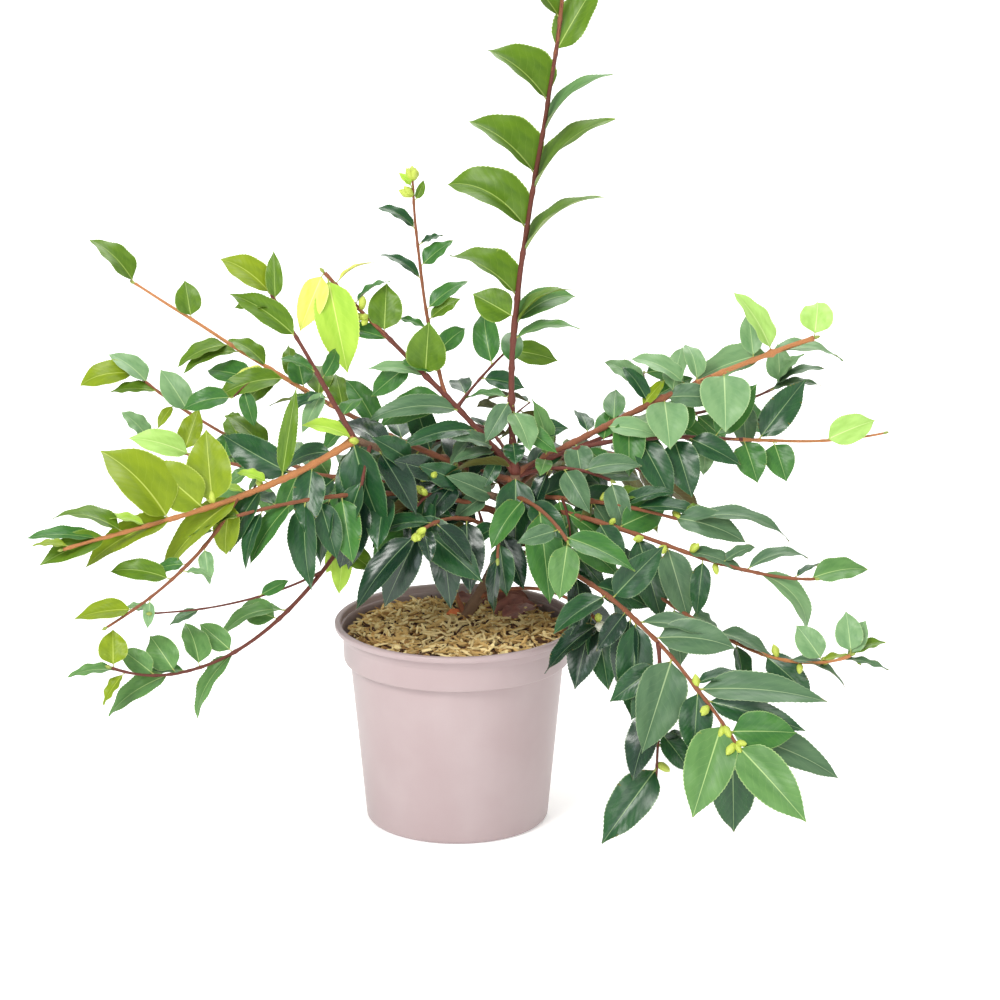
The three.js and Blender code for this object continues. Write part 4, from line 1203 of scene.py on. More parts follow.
class LeafShaper:
    """Shapes many leaves from one net of rows along the blade and columns across it.

    The blade is folded along its midrib, arched between midrib and margin, bent down
    towards a drawn-out tip and finely toothed. Its underside closes it.
    """

    TEETH = 21
    TOOTH = 0.6 * MM
    COLUMNS = np.array([-1.0, -0.66, -0.33, 0.0, 0.33, 0.66, 1.0])
    UNDER = np.array([-0.5, 0.0, 0.5])
    OUTLINE_AT = (0, 0.03, 0.08, 0.15, 0.25, 0.38, 0.5, 0.62, 0.74, 0.84, 0.91, 0.96, 1)
    OUTLINE = (0.03, 0.22, 0.54, 0.8, 0.96, 1.0, 0.96, 0.85, 0.65, 0.4, 0.21, 0.09, 0.012)
    THICKNESS = 0.32 * MM
    RIB = 0.45 * MM
    FOLD_LOST = 0.35  # share of the fold that is gone at the tip
    ARCH = 0.14  # drop of the margin, as a share of the half width
    THIN_AT = 6 * MM  # half width below which the teeth shrink
    FINE_AT = 4 * MM  # half width below which the blade gets thinner

    def __init__(self) -> None:
        """Lays out the net, its faces and its maps."""
        starts = np.linspace(0.1, 0.93, self.TEETH)
        tips = starts[:-1] + 0.72 * np.diff(starts)
        toothed = np.sort(np.concatenate([starts, tips]))
        self.rows = np.concatenate([[0.0, 0.03, 0.06], toothed, [0.965, 1.0]])
        self.tooth = np.isin(self.rows, tips) * self.TOOTH
        self.outline = self._smooth(self.rows)
        across = len(self.COLUMNS)
        stride = across + len(self.UNDER)
        under = [0, across, across + 1, across + 2, across - 1]
        steps = np.arange(len(self.rows) - 1)[:, None] * stride
        self.top = self._strips(steps, list(range(across)), stride)
        self.back = self._strips(steps, under[::-1], stride)
        ring = list(range(across)) + under[-2:0:-1]
        self.ends = np.array([ring[::-1], [k + steps[-1, 0] + stride for k in ring]])
        columns = np.concatenate([self.COLUMNS, self.UNDER])
        self.blade_map = rows_of(columns * self.outline[:, None], self.rows[:, None])
        self.edge_map = rows_of(0.5 + 0.5 * columns, self.rows[:, None])
        tile = self.blade_map * (0.23, 0.96) + (0.25, 0.02)
        self.top_tile = tile
        self.back_tile = tile + (0.5, 0.0)

    def _smooth(self, s: Array) -> Array:
        """The outline, smoothed.

        Args:
            s: Fractions of the length.

        Returns:
            The half width there, as a share of the widest.
        """
        fine = np.linspace(0, 1, 401)
        raw = np.interp(fine, self.OUTLINE_AT, self.OUTLINE)
        kernel = np.hanning(21)
        padded = np.pad(raw, 10, mode="edge")
        return np.interp(s, fine, np.convolve(padded, kernel / kernel.sum(), mode="valid"))

    @staticmethod
    def _strips(steps: Array, columns: list[int], stride: int) -> Array:
        """Quads between neighbouring columns for every pair of rows."""
        a, b = np.array(columns[:-1]), np.array(columns[1:])
        return rows_of(steps + a, steps + b, steps + b + stride, steps + a + stride)

    def shape(self, leaves: Sequence[Leaf]) -> Array:
        """The points of every leaf.

        Args:
            leaves: The leaves.

        Returns:
            An array of leaves by points by three.
        """
        def column(name: str) -> Array:
            """One property of every leaf."""
            return np.array([getattr(leaf, name) for leaf in leaves], float)

        base, axis, normal = column("base"), column("axis"), column("normal")
        length, s = column("length")[:, None], self.rows[None, :]
        bend = column("recurve")[:, None] * s**1.25
        cos, sin = np.cos(bend)[..., None], np.sin(bend)[..., None]
        ahead = axis[:, None] * cos - normal[:, None] * sin
        above = normal[:, None] * cos + axis[:, None] * sin
        strides = 0.5 * (ahead[:, 1:] + ahead[:, :-1]) * (np.diff(s) * length)[..., None]
        spine = np.concatenate([0 * strides[:, :1], np.cumsum(strides, axis=1)], axis=1)
        spine += base[:, None]
        twist = column("twist")[:, None] * s
        above = turned(above, ahead, twist)
        side = np.cross(ahead, above)
        half = length * column("plump")[:, None] / 2 * self.outline
        ripple = column("wave")[:, None]
        fold = column("fold")[:, None] * (1 - self.FOLD_LOST * s)

        def lay(c: float, drop: Array | float, toothed: bool) -> Array:
            """One line of points from base to tip.

            Args:
                c: Its place across, -1 and 1 being the margins.
                drop: How far it lies below the upper side.
                toothed: Whether it has teeth.

            Returns:
                An array of leaves by points by three.
            """
            width = half + (self.tooth * np.minimum(1, half / self.THIN_AT) if toothed else 0)
            lift = width * (abs(c) * np.sin(fold) - self.ARCH * c * c)
            phase = 40 * ripple / MM + 2 * c
            lift = lift + ripple * c * c * np.sin(19 * s + phase) - drop
            across = width * c * np.cos(fold)
            return spine + side * across[..., None] + above * lift[..., None]

        columns = [lay(c, 0.0, abs(c) == 1.0) for c in self.COLUMNS]
        body = self.THICKNESS * np.minimum(1, half / self.FINE_AT)
        rib = self.RIB * (1 - 0.8 * s)
        columns += [lay(c, body * (1 - c * c) + (rib if c == 0 else 0), False) for c in self.UNDER]
        return np.stack(columns, axis=2).reshape(len(leaves), -1, 3)

    def fill(self, stock: Stock, leaves: Sequence[Leaf]) -> None:
        """Adds the leaves to a stock, upper sides first and undersides second.

        Args:
            stock: Where they go.
            leaves: The leaves.
        """
        for points in self.shape(leaves):
            maps = {"Blade": self.blade_map, "Edge": self.edge_map}
            stock.add(points, [
                (self.top, 0, {"OFBake": self.top_tile, **maps}),
                (self.back, 1, {"OFBake": self.back_tile, **maps}),
                (self.ends, 1, {"OFBake": self.back_tile, **maps}),
            ])


def tube(
    centres: Array, radii: Array, sides: int, spin: Array | Triple = (0.31, 0.87, 0.4)
) -> tuple[Array, Array, Array, Array]:
    """A closed tube along a line.

    Args:
        centres: The line's points.
        radii: The radius at each point, or at each point and side.
        sides: The number of sides.
        spin: A direction that no part of the line runs along.

    Returns:
        Points, quads, end triangles, and a map in millimetres round and along, by point.
    """
    ahead = unit(np.gradient(centres, axis=0))
    side = unit(np.cross(ahead[0], spin))
    angles = 2 * np.pi * np.arange(sides) / sides
    radii = radii if radii.ndim == 2 else np.repeat(radii[:, None], sides, axis=1)
    rings = []
    for centre, way, radius in zip(centres, ahead, radii):
        side = unit(side - way * (side @ way))
        up = np.cross(way, side)
        spokes = side * np.cos(angles)[:, None] + up * np.sin(angles)[:, None]
        rings.append(centre + spokes * radius[:, None])
    points = np.concatenate([*rings, centres[:1], centres[-1:]])
    quads, caps = ring_faces(len(centres), sides)
    along = np.concatenate([[0], np.cumsum(np.linalg.norm(np.diff(centres, axis=0), axis=1))])
    skin = rows_of(angles * radii.mean() / MM, along[:, None] / MM)
    return points, quads, caps, np.concatenate([skin, skin[:1], skin[-1:]])


class Crown:
    """Everything that grows: stems, leaves, leaf stalks and buds."""

    PETIOLE = 3.2 * MM
    RING_GAP, TRUNK_RING_GAP = 3.2 * MM, 1.5 * MM
    SIDES, TRUNK_SIDES = 12, 20
    RIDGES, TRUNK_RIDGES = 0.05, 0.11  # depth of the bark's ridges, as a share of the radius
    TRUNK_FLARE, FLARE = 2.0 * MM, 0.45  # the limb's is a share of its foot's radius
    FLARE_REACH = 9 * MM
    SWELLING, SWELLING_REACH = 0.3, 2.4 * MM  # the extra thickness at a leaf's node
    SWAY, SWAY_EVERY = 0.25 * MM, 11 * MM
    TRUNK_START = 0.06  # the share of the trunk that stays in the mulch
    POT_CLEAR, MULCH_CLEAR, FLOOR_CLEAR = 99 * MM, 158 * MM, 4 * MM
    RAISES = 7  # how often a leaf is raised clear of the pot before it is left out

    def __init__(self, effects: Effects) -> None:
        """Grows every shoot from its parent.

        Args:
            effects: The shared effects.
        """
        self.effects = effects
        self.shaper = LeafShaper()
        self.courses: dict[str, Course] = {"trunk": Course(TRUNK, TRUNK_FOOT)}
        self.swellings: dict[str, list[float]] = {"trunk": []}
        self.leaves: list[Leaf] = []
        self.buds: list[tuple[Array, Array, float]] = []
        self.flower_buds: list[tuple[Array, Array, float]] = []
        self.main_tone: dict[str, Tone] = {}
        for shoot in SHOOTS:
            parent = self.courses[shoot.parent]
            self.courses[shoot.name] = Course(shoot, parent.point(shoot.at))
            self.swellings[shoot.name] = []
            self._leaf_out(shoot)

    # ---- growth

    def _leaf_out(self, shoot: Shoot) -> None:
        """Sets a shoot's own leaves, then fills its free nodes by its habit.

        Args:
            shoot: The shoot.
        """
        rng = np.random.default_rng([SEED, *shoot.name.encode()])
        course = self.courses[shoot.name]
        for leaf in shoot.leaves:
            self._set_leaf(course, leaf)
        for at, heading, climb, number in shoot.buds:
            self._bud_cluster(course, at, compass(heading, climb), number)
        if shoot.leaves:
            self.main_tone[shoot.name] = shoot.leaves[0].tone
        if shoot.habit is None:
            self._tip(course, rng)
            return
        habit = shoot.habit
        self.main_tone.setdefault(shoot.name, habit.tones[1])
        span = (habit.last - habit.first) * shoot.length
        count = max(2, round(span / habit.gap) + 1)
        taken = [leaf.at for leaf in shoot.leaves]
        for k in range(count):
            t = habit.first + (habit.last - habit.first) * k / (count - 1)
            t = min(t + rng.normal(0, 0.12) * habit.gap / shoot.length, 1.0)
            rank = k % 2
            share = k / (count - 1)
            if all(abs(t - other) * shoot.length > 0.4 * habit.gap for other in taken):
                self._rule_leaf(course, habit, t, rank, share, rng)
        for _ in range(habit.twigs):
            self._twig(course, habit, rng)
        self._tip(course, rng)

    def _frame(self, course: Course, habit: Habit, t: float) -> tuple[Array, Array, Array]:
        """How the two ranks of leaves stand at a place on a shoot.

        Args:
            course: The shoot's line.
            habit: How its leaves stand.
            t: The place, as a fraction of the shoot.

        Returns:
            Its direction, its upper or left side, and the way up from its ranks.
        """
        along = course.direction(t)
        tilt = math.radians(habit.tilt)
        flat = np.array([0.0, -math.sin(tilt), math.cos(tilt)])
        lateral = unit(np.cross(along, flat))
        upright = abs(along[2]) > 0.8
        wrong_side = lateral[0] > 0 if upright else lateral[2] < 0
        if wrong_side:
            lateral = -lateral
        upward = flat - along * (flat @ along)
        return along, lateral, unit(upward)

    def _rule_leaf(
        self, course: Course, habit: Habit, t: float, rank: int, share: float,
        rng: np.random.Generator,
    ) -> None:
        """Adds the leaf that the habit gives a node.

        Args:
            course: The shoot's line.
            habit: How its leaves stand.
            t: The node's place, as a fraction of the shoot.
            rank: 0 for the upper or left rank and 1 for the other.
            share: How far the node is along the leafy stretch.
            rng: The shoot's own random numbers.
        """
        along, lateral, upward = self._frame(course, habit, t)
        way = 1.0 if rank == 0 else -1.0
        spread = math.radians(habit.spread[rank] + rng.normal(0, habit.loose * 0.6))
        lift = math.radians(rng.normal(0, habit.loose))
        out = lateral * way * math.cos(lift) + upward * math.sin(lift)
        axis = along * math.cos(spread) + out * math.sin(spread)
        axis = unit(axis - np.array([0, 0, habit.sag * (1 + rng.normal(0, 0.25))]))
        small, middle, tip = habit.size
        size = small * (1 - share) * (1 - 2 * share) + middle * 4 * share * (1 - share)
        size = (size + tip * share * (2 * share - 1)) * (1 + rng.normal(0, 0.13))
        tone = self._tone(habit, share, rng)
        face = np.array(habit.face.value) + rng.normal(0, habit.loose * 0.014, 3)
        self._add(
            course, t, axis, face, size, habit.plump * (1 + rng.normal(0, 0.05)),
            habit.fold * (1 + rng.normal(0, 0.2)), habit.recurve * (1 + rng.normal(0, 0.3)),
            tone, rng,
        )

    def _set_leaf(self, course: Course, leaf: SetLeaf) -> None:
        """Adds a leaf that has a pose of its own.

        Args:
            course: The shoot's line.
            leaf: The leaf's pose.
        """
        rng = np.random.default_rng([SEED, int(1000 * leaf.at), int(leaf.length)])
        axis = compass(leaf.heading, leaf.climb)
        self._add(
            course, leaf.at, axis, np.array(leaf.face.value), leaf.length, leaf.plump, leaf.fold,
            leaf.recurve, leaf.tone, rng, strict=True,
        )

    def _add(
        self, course: Course, t: float, axis: Array, face: Array, length: float, plump: float,
        fold: float, recurve: float, tone: Tone, rng: np.random.Generator, strict: bool = False,
    ) -> None:
        """Adds one leaf with its stalk and the bud in its axil.

        Args:
            course: The shoot's line.
            t: The node's place on it.
            axis: Where the blade points at its base.
            face: The direction that its upper side turns to.
            length: The blade's length in millimetres.
            plump: Its width as a share of its length.
            fold: The rise of each half from the midrib, in degrees.
            recurve: How far it bends down to its tip, in degrees.
            tone: Its colour.
            rng: The shoot's own random numbers.
            strict: Whether the pose is kept as it is even over the pot.
        """
        node = course.point(t)
        root = unit(axis + 0.35 * course.direction(t))
        surface = node + root * course.radius(t) * 0.6
        for _ in range(self.RAISES):
            base = surface + unit(root + axis) * self.PETIOLE
            normal = unit(face - axis * (face @ axis))
            bend = math.radians(recurve) * 0.45
            tip = base + (axis * math.cos(bend) - normal * math.sin(bend)) * length * MM
            middle = 0.5 * (tip + base)
            if strict or (self._clear(tip) and self._clear(middle)):
                break
            axis = unit(axis + np.array([0.0, -0.06, 0.3]))
        else:
            return
        self.swellings[course.shoot.name].append(t)
        self.leaves.append(Leaf(
            node, base, axis, normal, length * MM, plump, math.radians(fold),
            math.radians(recurve), rng.normal(0, 0.28), rng.uniform(0.3, 0.9) * MM, tone,
        ))
        bud = unit(axis * 0.4 + course.direction(t) + rng.normal(0, 0.1, 3))
        self.buds.append((node + bud * course.radius(t), bud, rng.uniform(1.8, 3.2) * MM))

    def _clear(self, point: Array) -> bool:
        """Whether a point is clear of the pot, the mulch and the floor."""
        over_pot = math.hypot(point[0], point[1]) < self.POT_CLEAR
        return point[2] > self.FLOOR_CLEAR and not (over_pot and point[2] < self.MULCH_CLEAR)

    @staticmethod
    def _tone(habit: Habit, share: float, rng: np.random.Generator) -> Tone:
        """A tone for a place along the leafy stretch, with a little chance in it."""
        place = share * len(habit.tones) + rng.normal(0, 0.35)
        return habit.tones[int(min(max(place, 0), len(habit.tones) - 1))]

    def _twig(self, course: Course, habit: Habit, rng: np.random.Generator) -> None:
        """Grows a short side twig with three leaves.

        Args:
            course: The line of the shoot that it grows from.
            habit: How that shoot's leaves stand.
            rng: The shoot's own random numbers.
        """
        at = rng.uniform(habit.first * 0.8, 0.85)
        along, lateral, upward = self._frame(course, habit, at)
        out = lateral * rng.choice([-1.0, 1.0]) + 0.5 * along + upward * rng.uniform(-0.2, 0.6)
        heading = math.degrees(math.atan2(out[1], out[0]))
        climb = math.degrees(math.asin(unit(out)[2]))
        name = f"{course.shoot.name}_twig_{len(self.courses)}"
        twig = Shoot(
            name, course.shoot.name, at, (heading, heading + rng.normal(0, 12)),
            (climb, climb - 4, climb - 14), rng.uniform(34, 58), (0.95, 0.6), bough=False,
            mass=False,
        )
        line = Course(twig, course.point(at))
        self.courses[name] = line
        self.swellings[name] = []
        for k, t in enumerate((0.4, 0.7, 1.0)):
            self._rule_leaf(line, habit, t, k % 2, at, rng)

    def _tip(self, course: Course, rng: np.random.Generator) -> None:
        """Ends a shoot in its bud."""
        end = course.direction(1.0)
        self.buds.append((course.point(1.0), unit(end), rng.uniform(4.5, 6.5) * MM))

    def _bud_cluster(self, course: Course, at: float, way: Array, number: int) -> None:
        """Adds plump buds side by side at a node.

        Args:
            course: The shoot's line.
            at: The node's place on it.
            way: Where the buds point, more or less.
            number: How many there are.
        """
        rng = np.random.default_rng([SEED, int(1000 * at), number])
        for _ in range(number):
            out = unit(way + rng.normal(0, 0.4, 3))
            start = course.point(at) + out * course.radius(at)
            self.flower_buds.append((start, out, rng.uniform(8.5, 12.0) * MM))

    # ---- meshes

    def _limb(self, course: Course, nodes: Sequence[float]) -> tuple[Array, Array, Array, Array]:
        """A limb's tube with swollen nodes, ridges and a flared foot.

        Args:
            course: The limb's line.
            nodes: Where its leaves sit, as fractions of its length.

        Returns:
            The same as from tube().
        """
        rng = np.random.default_rng([SEED, 7, *course.shoot.name.encode()])
        trunk = course.shoot.name == "trunk"
        start = self.TRUNK_START if trunk else 0.0
        sides = self.TRUNK_SIDES if trunk else self.SIDES
        gap = self.TRUNK_RING_GAP if trunk else self.RING_GAP
        count = max(6, int(course.length * (1 - start) / gap))
        t = np.linspace(start, 1.0, count)
        along = t * course.length
        radius = course.radius(t)
        for node in nodes:
            near = np.exp(-(((along - node * course.length) / self.SWELLING_REACH) ** 2))
            radius = radius + self.SWELLING * course.radius(node) * near
        flare = self.TRUNK_FLARE if trunk else self.FLARE * course.radius(0.0)
        near = np.exp(-(((along - start * course.length) / self.FLARE_REACH) ** 2))
        radius = radius + flare * near
        angles = 2 * np.pi * np.arange(sides) / sides
        ridges = np.zeros((count, sides))
        depth = self.TRUNK_RIDGES if trunk else self.RIDGES
        for waves in (2, 3, 5, 7):
            phase = rng.uniform(0, TURN) + along[:, None] * rng.uniform(-120, 120)
            ridges += np.cos(waves * angles + phase) / waves
        rough = rng.normal(0, 0.35, (count, sides)) if trunk else 0
        radii = radius[:, None] * (1 + depth * (ridges + rough))
        sway = self.SWAY * np.sin(along / self.SWAY_EVERY + rng.uniform(0, TURN))
        centres = course.point(t) + sway[:, None] * np.array([0.6, 0.5, 0.3])
        return tube(centres, radii, sides)

    def build_stems(self) -> None:
        """Makes the bark of trunk and boughs as one piece, with young wood in its own skin."""
        skins = list(Skin)
        stock, replaced = Stock(), []
        rng = np.random.default_rng([SEED, 5])
        for name, course in self.courses.items():
            shoot = course.shoot
            points, quads, caps, skin_map = self._limb(course, self.swellings[name])
            maps = {"Skin": skin_map}
            old, young = skins.index(shoot.skin), skins.index(shoot.young_skin or shoot.skin)
            place = np.linspace(0, 1, len(quads)) + rng.normal(0, 0.03, len(quads))
            ripe = place > shoot.ripe_to
            stock.add(points, [
                (quads[~ripe], old, maps), (quads[ripe], young, maps), (caps, young, maps)
            ])
            replaced += shoot.nodes()[0]
        materials = [SKINS[skin].dress(f"stem_{skin.value}", self.effects) for skin in skins]
        hand_over(stock.build("stems", materials), replaced)

    def build_leaves(self) -> None:
        """Makes the leaves, one piece or more for each tone."""
        stands: dict[Tone, list[str]] = {tone: [] for tone in Tone}
        for shoot in SHOOTS:
            if shoot.mass:
                stands[self.main_tone[shoot.name]] += shoot.nodes()[1]
        for tone in Tone:
            leaves = [leaf for leaf in self.leaves if leaf.tone is tone]
            if not leaves:
                continue
            top, back = FINISHES[tone]
            materials = [
                top.dress(f"leaf_{tone.value}", self.effects),
                back.dress(f"leaf_{tone.value}_under", self.effects),
            ]
            each = 2 * (len(self.shaper.top) + len(self.shaper.back)) + 16
            batch = PIECE_TRIANGLES // each
            for number, first in enumerate(range(0, len(leaves), batch)):
                stock = Stock()
                self.shaper.fill(stock, leaves[first:first + batch])
                suffix = f"_{number + 1}" if number else ""
                piece = stock.build(f"leaves_{tone.value}{suffix}", materials, crease=70.0)
                hand_over(piece, stands[tone] if number == 0 else ())
        LOG.info("%d leaves in all", len(self.leaves))

    def build_stalks(self) -> None:
        """Makes the leaf stalks."""
        stock = Stock()
        for leaf in self.leaves:
            bend = leaf.base - leaf.axis * self.PETIOLE * 0.5
            t = np.linspace(0, 1, 5)[:, None]
            run_on = leaf.base + leaf.axis * 3 * MM - leaf.normal * 0.35 * MM
            line = (1 - t) ** 2 * leaf.node + 2 * t * (1 - t) * bend + t**2 * leaf.base
            line = np.vstack([line, run_on])
            thick = max(0.55, leaf.length / MM / 75) * MM
            radii = thick * np.array([1.15, 1.0, 0.85, 0.8, 0.8, 0.25])
            points, quads, caps, skin = tube(line, radii, 6, leaf.normal)
            stock.add(points, [(quads, 0, {"Skin": skin}), (caps, 0, {"Skin": skin})])
        finish = StemFinish(linear(146, 160, 74), linear(178, 176, 96), 0.45, 1.5, 0.3)
        piece = stock.build("leaf_stalks", [finish.dress("stalk_green", self.effects)])
        hand_over(piece)

    @staticmethod
    def _bud(stock: Stock, start: Array, way: Array, length: float, stout: float) -> None:
        """Adds one scaly bud to a stock.

        Args:
            stock: Where it goes.
            start: Its foot, in metres.
            way: Where it points.
            length: Its length in metres.
            stout: Its greatest radius, as a share of its length.
        """
        t = np.linspace(0, 1, 9)
        centres = start + way * (t * length)[:, None]
        width = stout * length * np.sin(np.pi * np.clip(t * 0.9 + 0.1, 0, 1)) ** 0.75
        angles = 2 * np.pi * np.arange(8) / 8
        scales = 1 + 0.09 * np.cos(2 * angles + 9 * t[:, None]) * (t[:, None] < 0.9)
        points, quads, caps, skin = tube(centres, (width + 0.1 * MM)[:, None] * scales, 8)
        stock.add(points, [(quads, 0, {"Skin": skin}), (caps, 0, {"Skin": skin})])

    def build_buds(self) -> None:
        """Makes the leaf buds and the plump flower buds, each kind apart."""
        leaf_buds, flower_buds, opening = Stock(), Stock(), Stock()
        for start, way, length in self.buds:
            self._bud(leaf_buds, start, way, length, 0.24)
        for start, way, length in self.flower_buds:
            self._bud(flower_buds, start, way, length, 0.27)
        tip = self.courses["rim_right"].point(1.0)
        self._bud(opening, tip, compass(290.0, -35.0), 9.0 * MM, 0.5)
        green = StemFinish(linear(128, 146, 62), linear(164, 168, 84), 0.5, 1.5, 0.3)
        lime = StemFinish(linear(164, 184, 62), linear(204, 208, 100), 0.45, 1.2, 0.3)
        cream = StemFinish(linear(232, 232, 212), linear(246, 244, 230), 0.45, 1.2, 0.2)
        for name, stock, colour, finish in (
            ("leaf_buds", leaf_buds, "green", green),
            ("flower_buds", flower_buds, "lime", lime),
            ("opening_bud", opening, "cream", cream),
        ):
            piece = stock.build(name, [finish.dress(f"bud_{colour}", self.effects)])
            hand_over(piece)


# ---- pot and mulch


@dataclass
class Pot:
    """The nursery pot, in millimetres. Its band and lip are slimmer than its solid's."""

    effects: Effects
    height: float = 161.0
    rim_radius: float = 95.5
    base_radius: float = 71.5
    wall: float = 2.4
    band_bottom: float = 130.6
    band_radius: float = 88.5
    body_top_radius: float = 83.5
    band_top: float = 151.0
    lip_depth: float = 8.0
    lip_width: float = 5.0
    lip_rounding: float = 1.8
    foot_rounding: float = 4.0
    drain_count: int = 5
    drain_radius: float = 5.0
    drain_circle: float = 48.0
    hub: float = 20.0
    segments: int = 180

    def profile(self) -> list[tuple[float, float]]:
        """The outline that the pot is turned from.

        Returns:
            Radius and height, from the middle of the underside round to the inside floor.
        """
        foot, body, band, rim = (
            self.base_radius, self.body_top_radius, self.band_radius, self.rim_radius
        )
        low, top, bead = self.band_bottom, self.height - self.lip_depth, self.lip_width / 2
        corner = [
            (foot - self.foot_rounding * (1 - math.sin(a)), self.foot_rounding * (1 - math.cos(a)))
            for a in np.linspace(0, math.pi / 2, 6)
        ]
        slope = [
            (foot + (body - foot) * t, self.foot_rounding + (low - self.foot_rounding) * t)
            for t in np.linspace(0.1, 1, 12)
        ]
        roll = [
            (rim - bead + bead * math.cos(a), self.height + self.lip_rounding * (math.sin(a) - 1))
            for a in np.linspace(0.0, math.pi, 12)
        ]
        return [
            (0.0, 0.0), (self.hub, 0.0), (foot - self.foot_rounding - 1, 0.0), *corner, *slope,
            (body + 0.1, low - 0.7), (body + 0.5, low - 0.1), (body + 1.2, low),
            (band - 1.4, low), (band - 0.5, low + 0.2), (band - 0.1, low + 0.9),
            (band, low + 1.7), (band + 0.6, self.band_top),
            (band + 0.7, top + 1.2), (band + 0.9, top + 2.2), (band + 1.6, top + 2.6),
            (rim - 1.5, top + 2.7), (rim - 0.6, top + 3.0), (rim - 0.2, top + 3.7), *roll,
            (rim - self.lip_width - 0.2, top),
            (band - self.wall, low + self.lip_depth), (body - self.wall, low),
            (foot - self.wall, self.foot_rounding + self.wall / 2),
            (foot - self.foot_rounding - self.wall / 2, self.wall),
            (self.hub, self.wall), (0.0, self.wall),
        ]

    def build(self) -> None:
        """Turns the pot, drills its drain holes and dresses it."""
        rings = np.array(self.profile()) * MM
        angles = 2 * np.pi * np.arange(self.segments) / self.segments
        circle = np.stack([np.cos(angles), np.sin(angles), 0 * angles], axis=-1)
        inside = rings[1:-1]
        points = [circle * r + (0, 0, z) for r, z in inside]
        points = np.concatenate([*points, [[0, 0, rings[0][1]], [0, 0, rings[-1][1]]]])
        quads, caps = ring_faces(len(inside), self.segments)
        stock = Stock()
        stock.add(points, [(quads, 0, {}), (caps, 0, {})])
        material = PlasticFinish().dress("pot_plastic", self.effects)
        pot = stock.build("nursery_pot", [material], crease=50.0)
        self._drill(pot)
        hand_over(pot, ["pot"])

    def _drill(self, pot: Piece) -> None:
        """Cuts the drain holes through the pot's floor.

        Args:
            pot: The turned pot.
        """
        drills = Stock()
        for k in range(self.drain_count):
            angle = 2 * math.pi * k / self.drain_count + math.pi / 10
            x, y = self.drain_circle * math.cos(angle), self.drain_circle * math.sin(angle)
            line = np.array([[x, y, -5.0], [x, y, self.wall + 5.0]]) * MM
            points, quads, caps, _ = tube(line, np.full(2, self.drain_radius * MM), 24)
            drills.add(points, [(quads, 0, {}), (caps, 0, {})])
        cutter = drills.build("drain_drill", [])
        cut = pot.modifiers.new("drain", "BOOLEAN")
        cut.object, cut.operation, cut.solver = cutter, "DIFFERENCE", "EXACT"
        bpy.context.view_layer.update()
        shape = pot.evaluated_get(bpy.context.evaluated_depsgraph_get())
        drilled = bpy.data.meshes.new_from_object(shape)
        pot.modifiers.clear()
        pot.data = drilled
        bpy.data.objects.remove(cutter)


@dataclass(frozen=True)
class ChipKind:
    """Chips of one colour: their finish, share, and greatest height over the mound."""

    finish: StemFinish
    share: float
    highest: float


# Pale chips may lie up to 4.5 mm over the mound and umber and dark ones only 1.6 mm, so the mulch darkens
# with depth: painted shade between the chips. The dark chips are partly darker bark, partly painted shade.
CHIPS: dict[str, ChipKind] = {
    "straw": ChipKind(
        StemFinish(linear(250, 222, 152), linear(255, 242, 196), 0.85, 1.2, 0.6), 0.26, 4.5
    ),
    "tan": ChipKind(
        StemFinish(linear(222, 182, 110), linear(244, 212, 144), 0.88, 1.2, 0.7), 0.28, 4.5
    ),
    "umber": ChipKind(
        StemFinish(linear(178, 132, 76), linear(214, 172, 110), 0.9, 1.2, 0.7), 0.26, 1.6
    ),
    "dark": ChipKind(
        StemFinish(linear(74, 48, 28), linear(116, 80, 48), 0.92, 1.2, 0.7), 0.2, 1.6
    ),
}
RED_CHIP = StemFinish(linear(214, 112, 62), linear(232, 142, 88), 0.8, 1.2, 0.6)


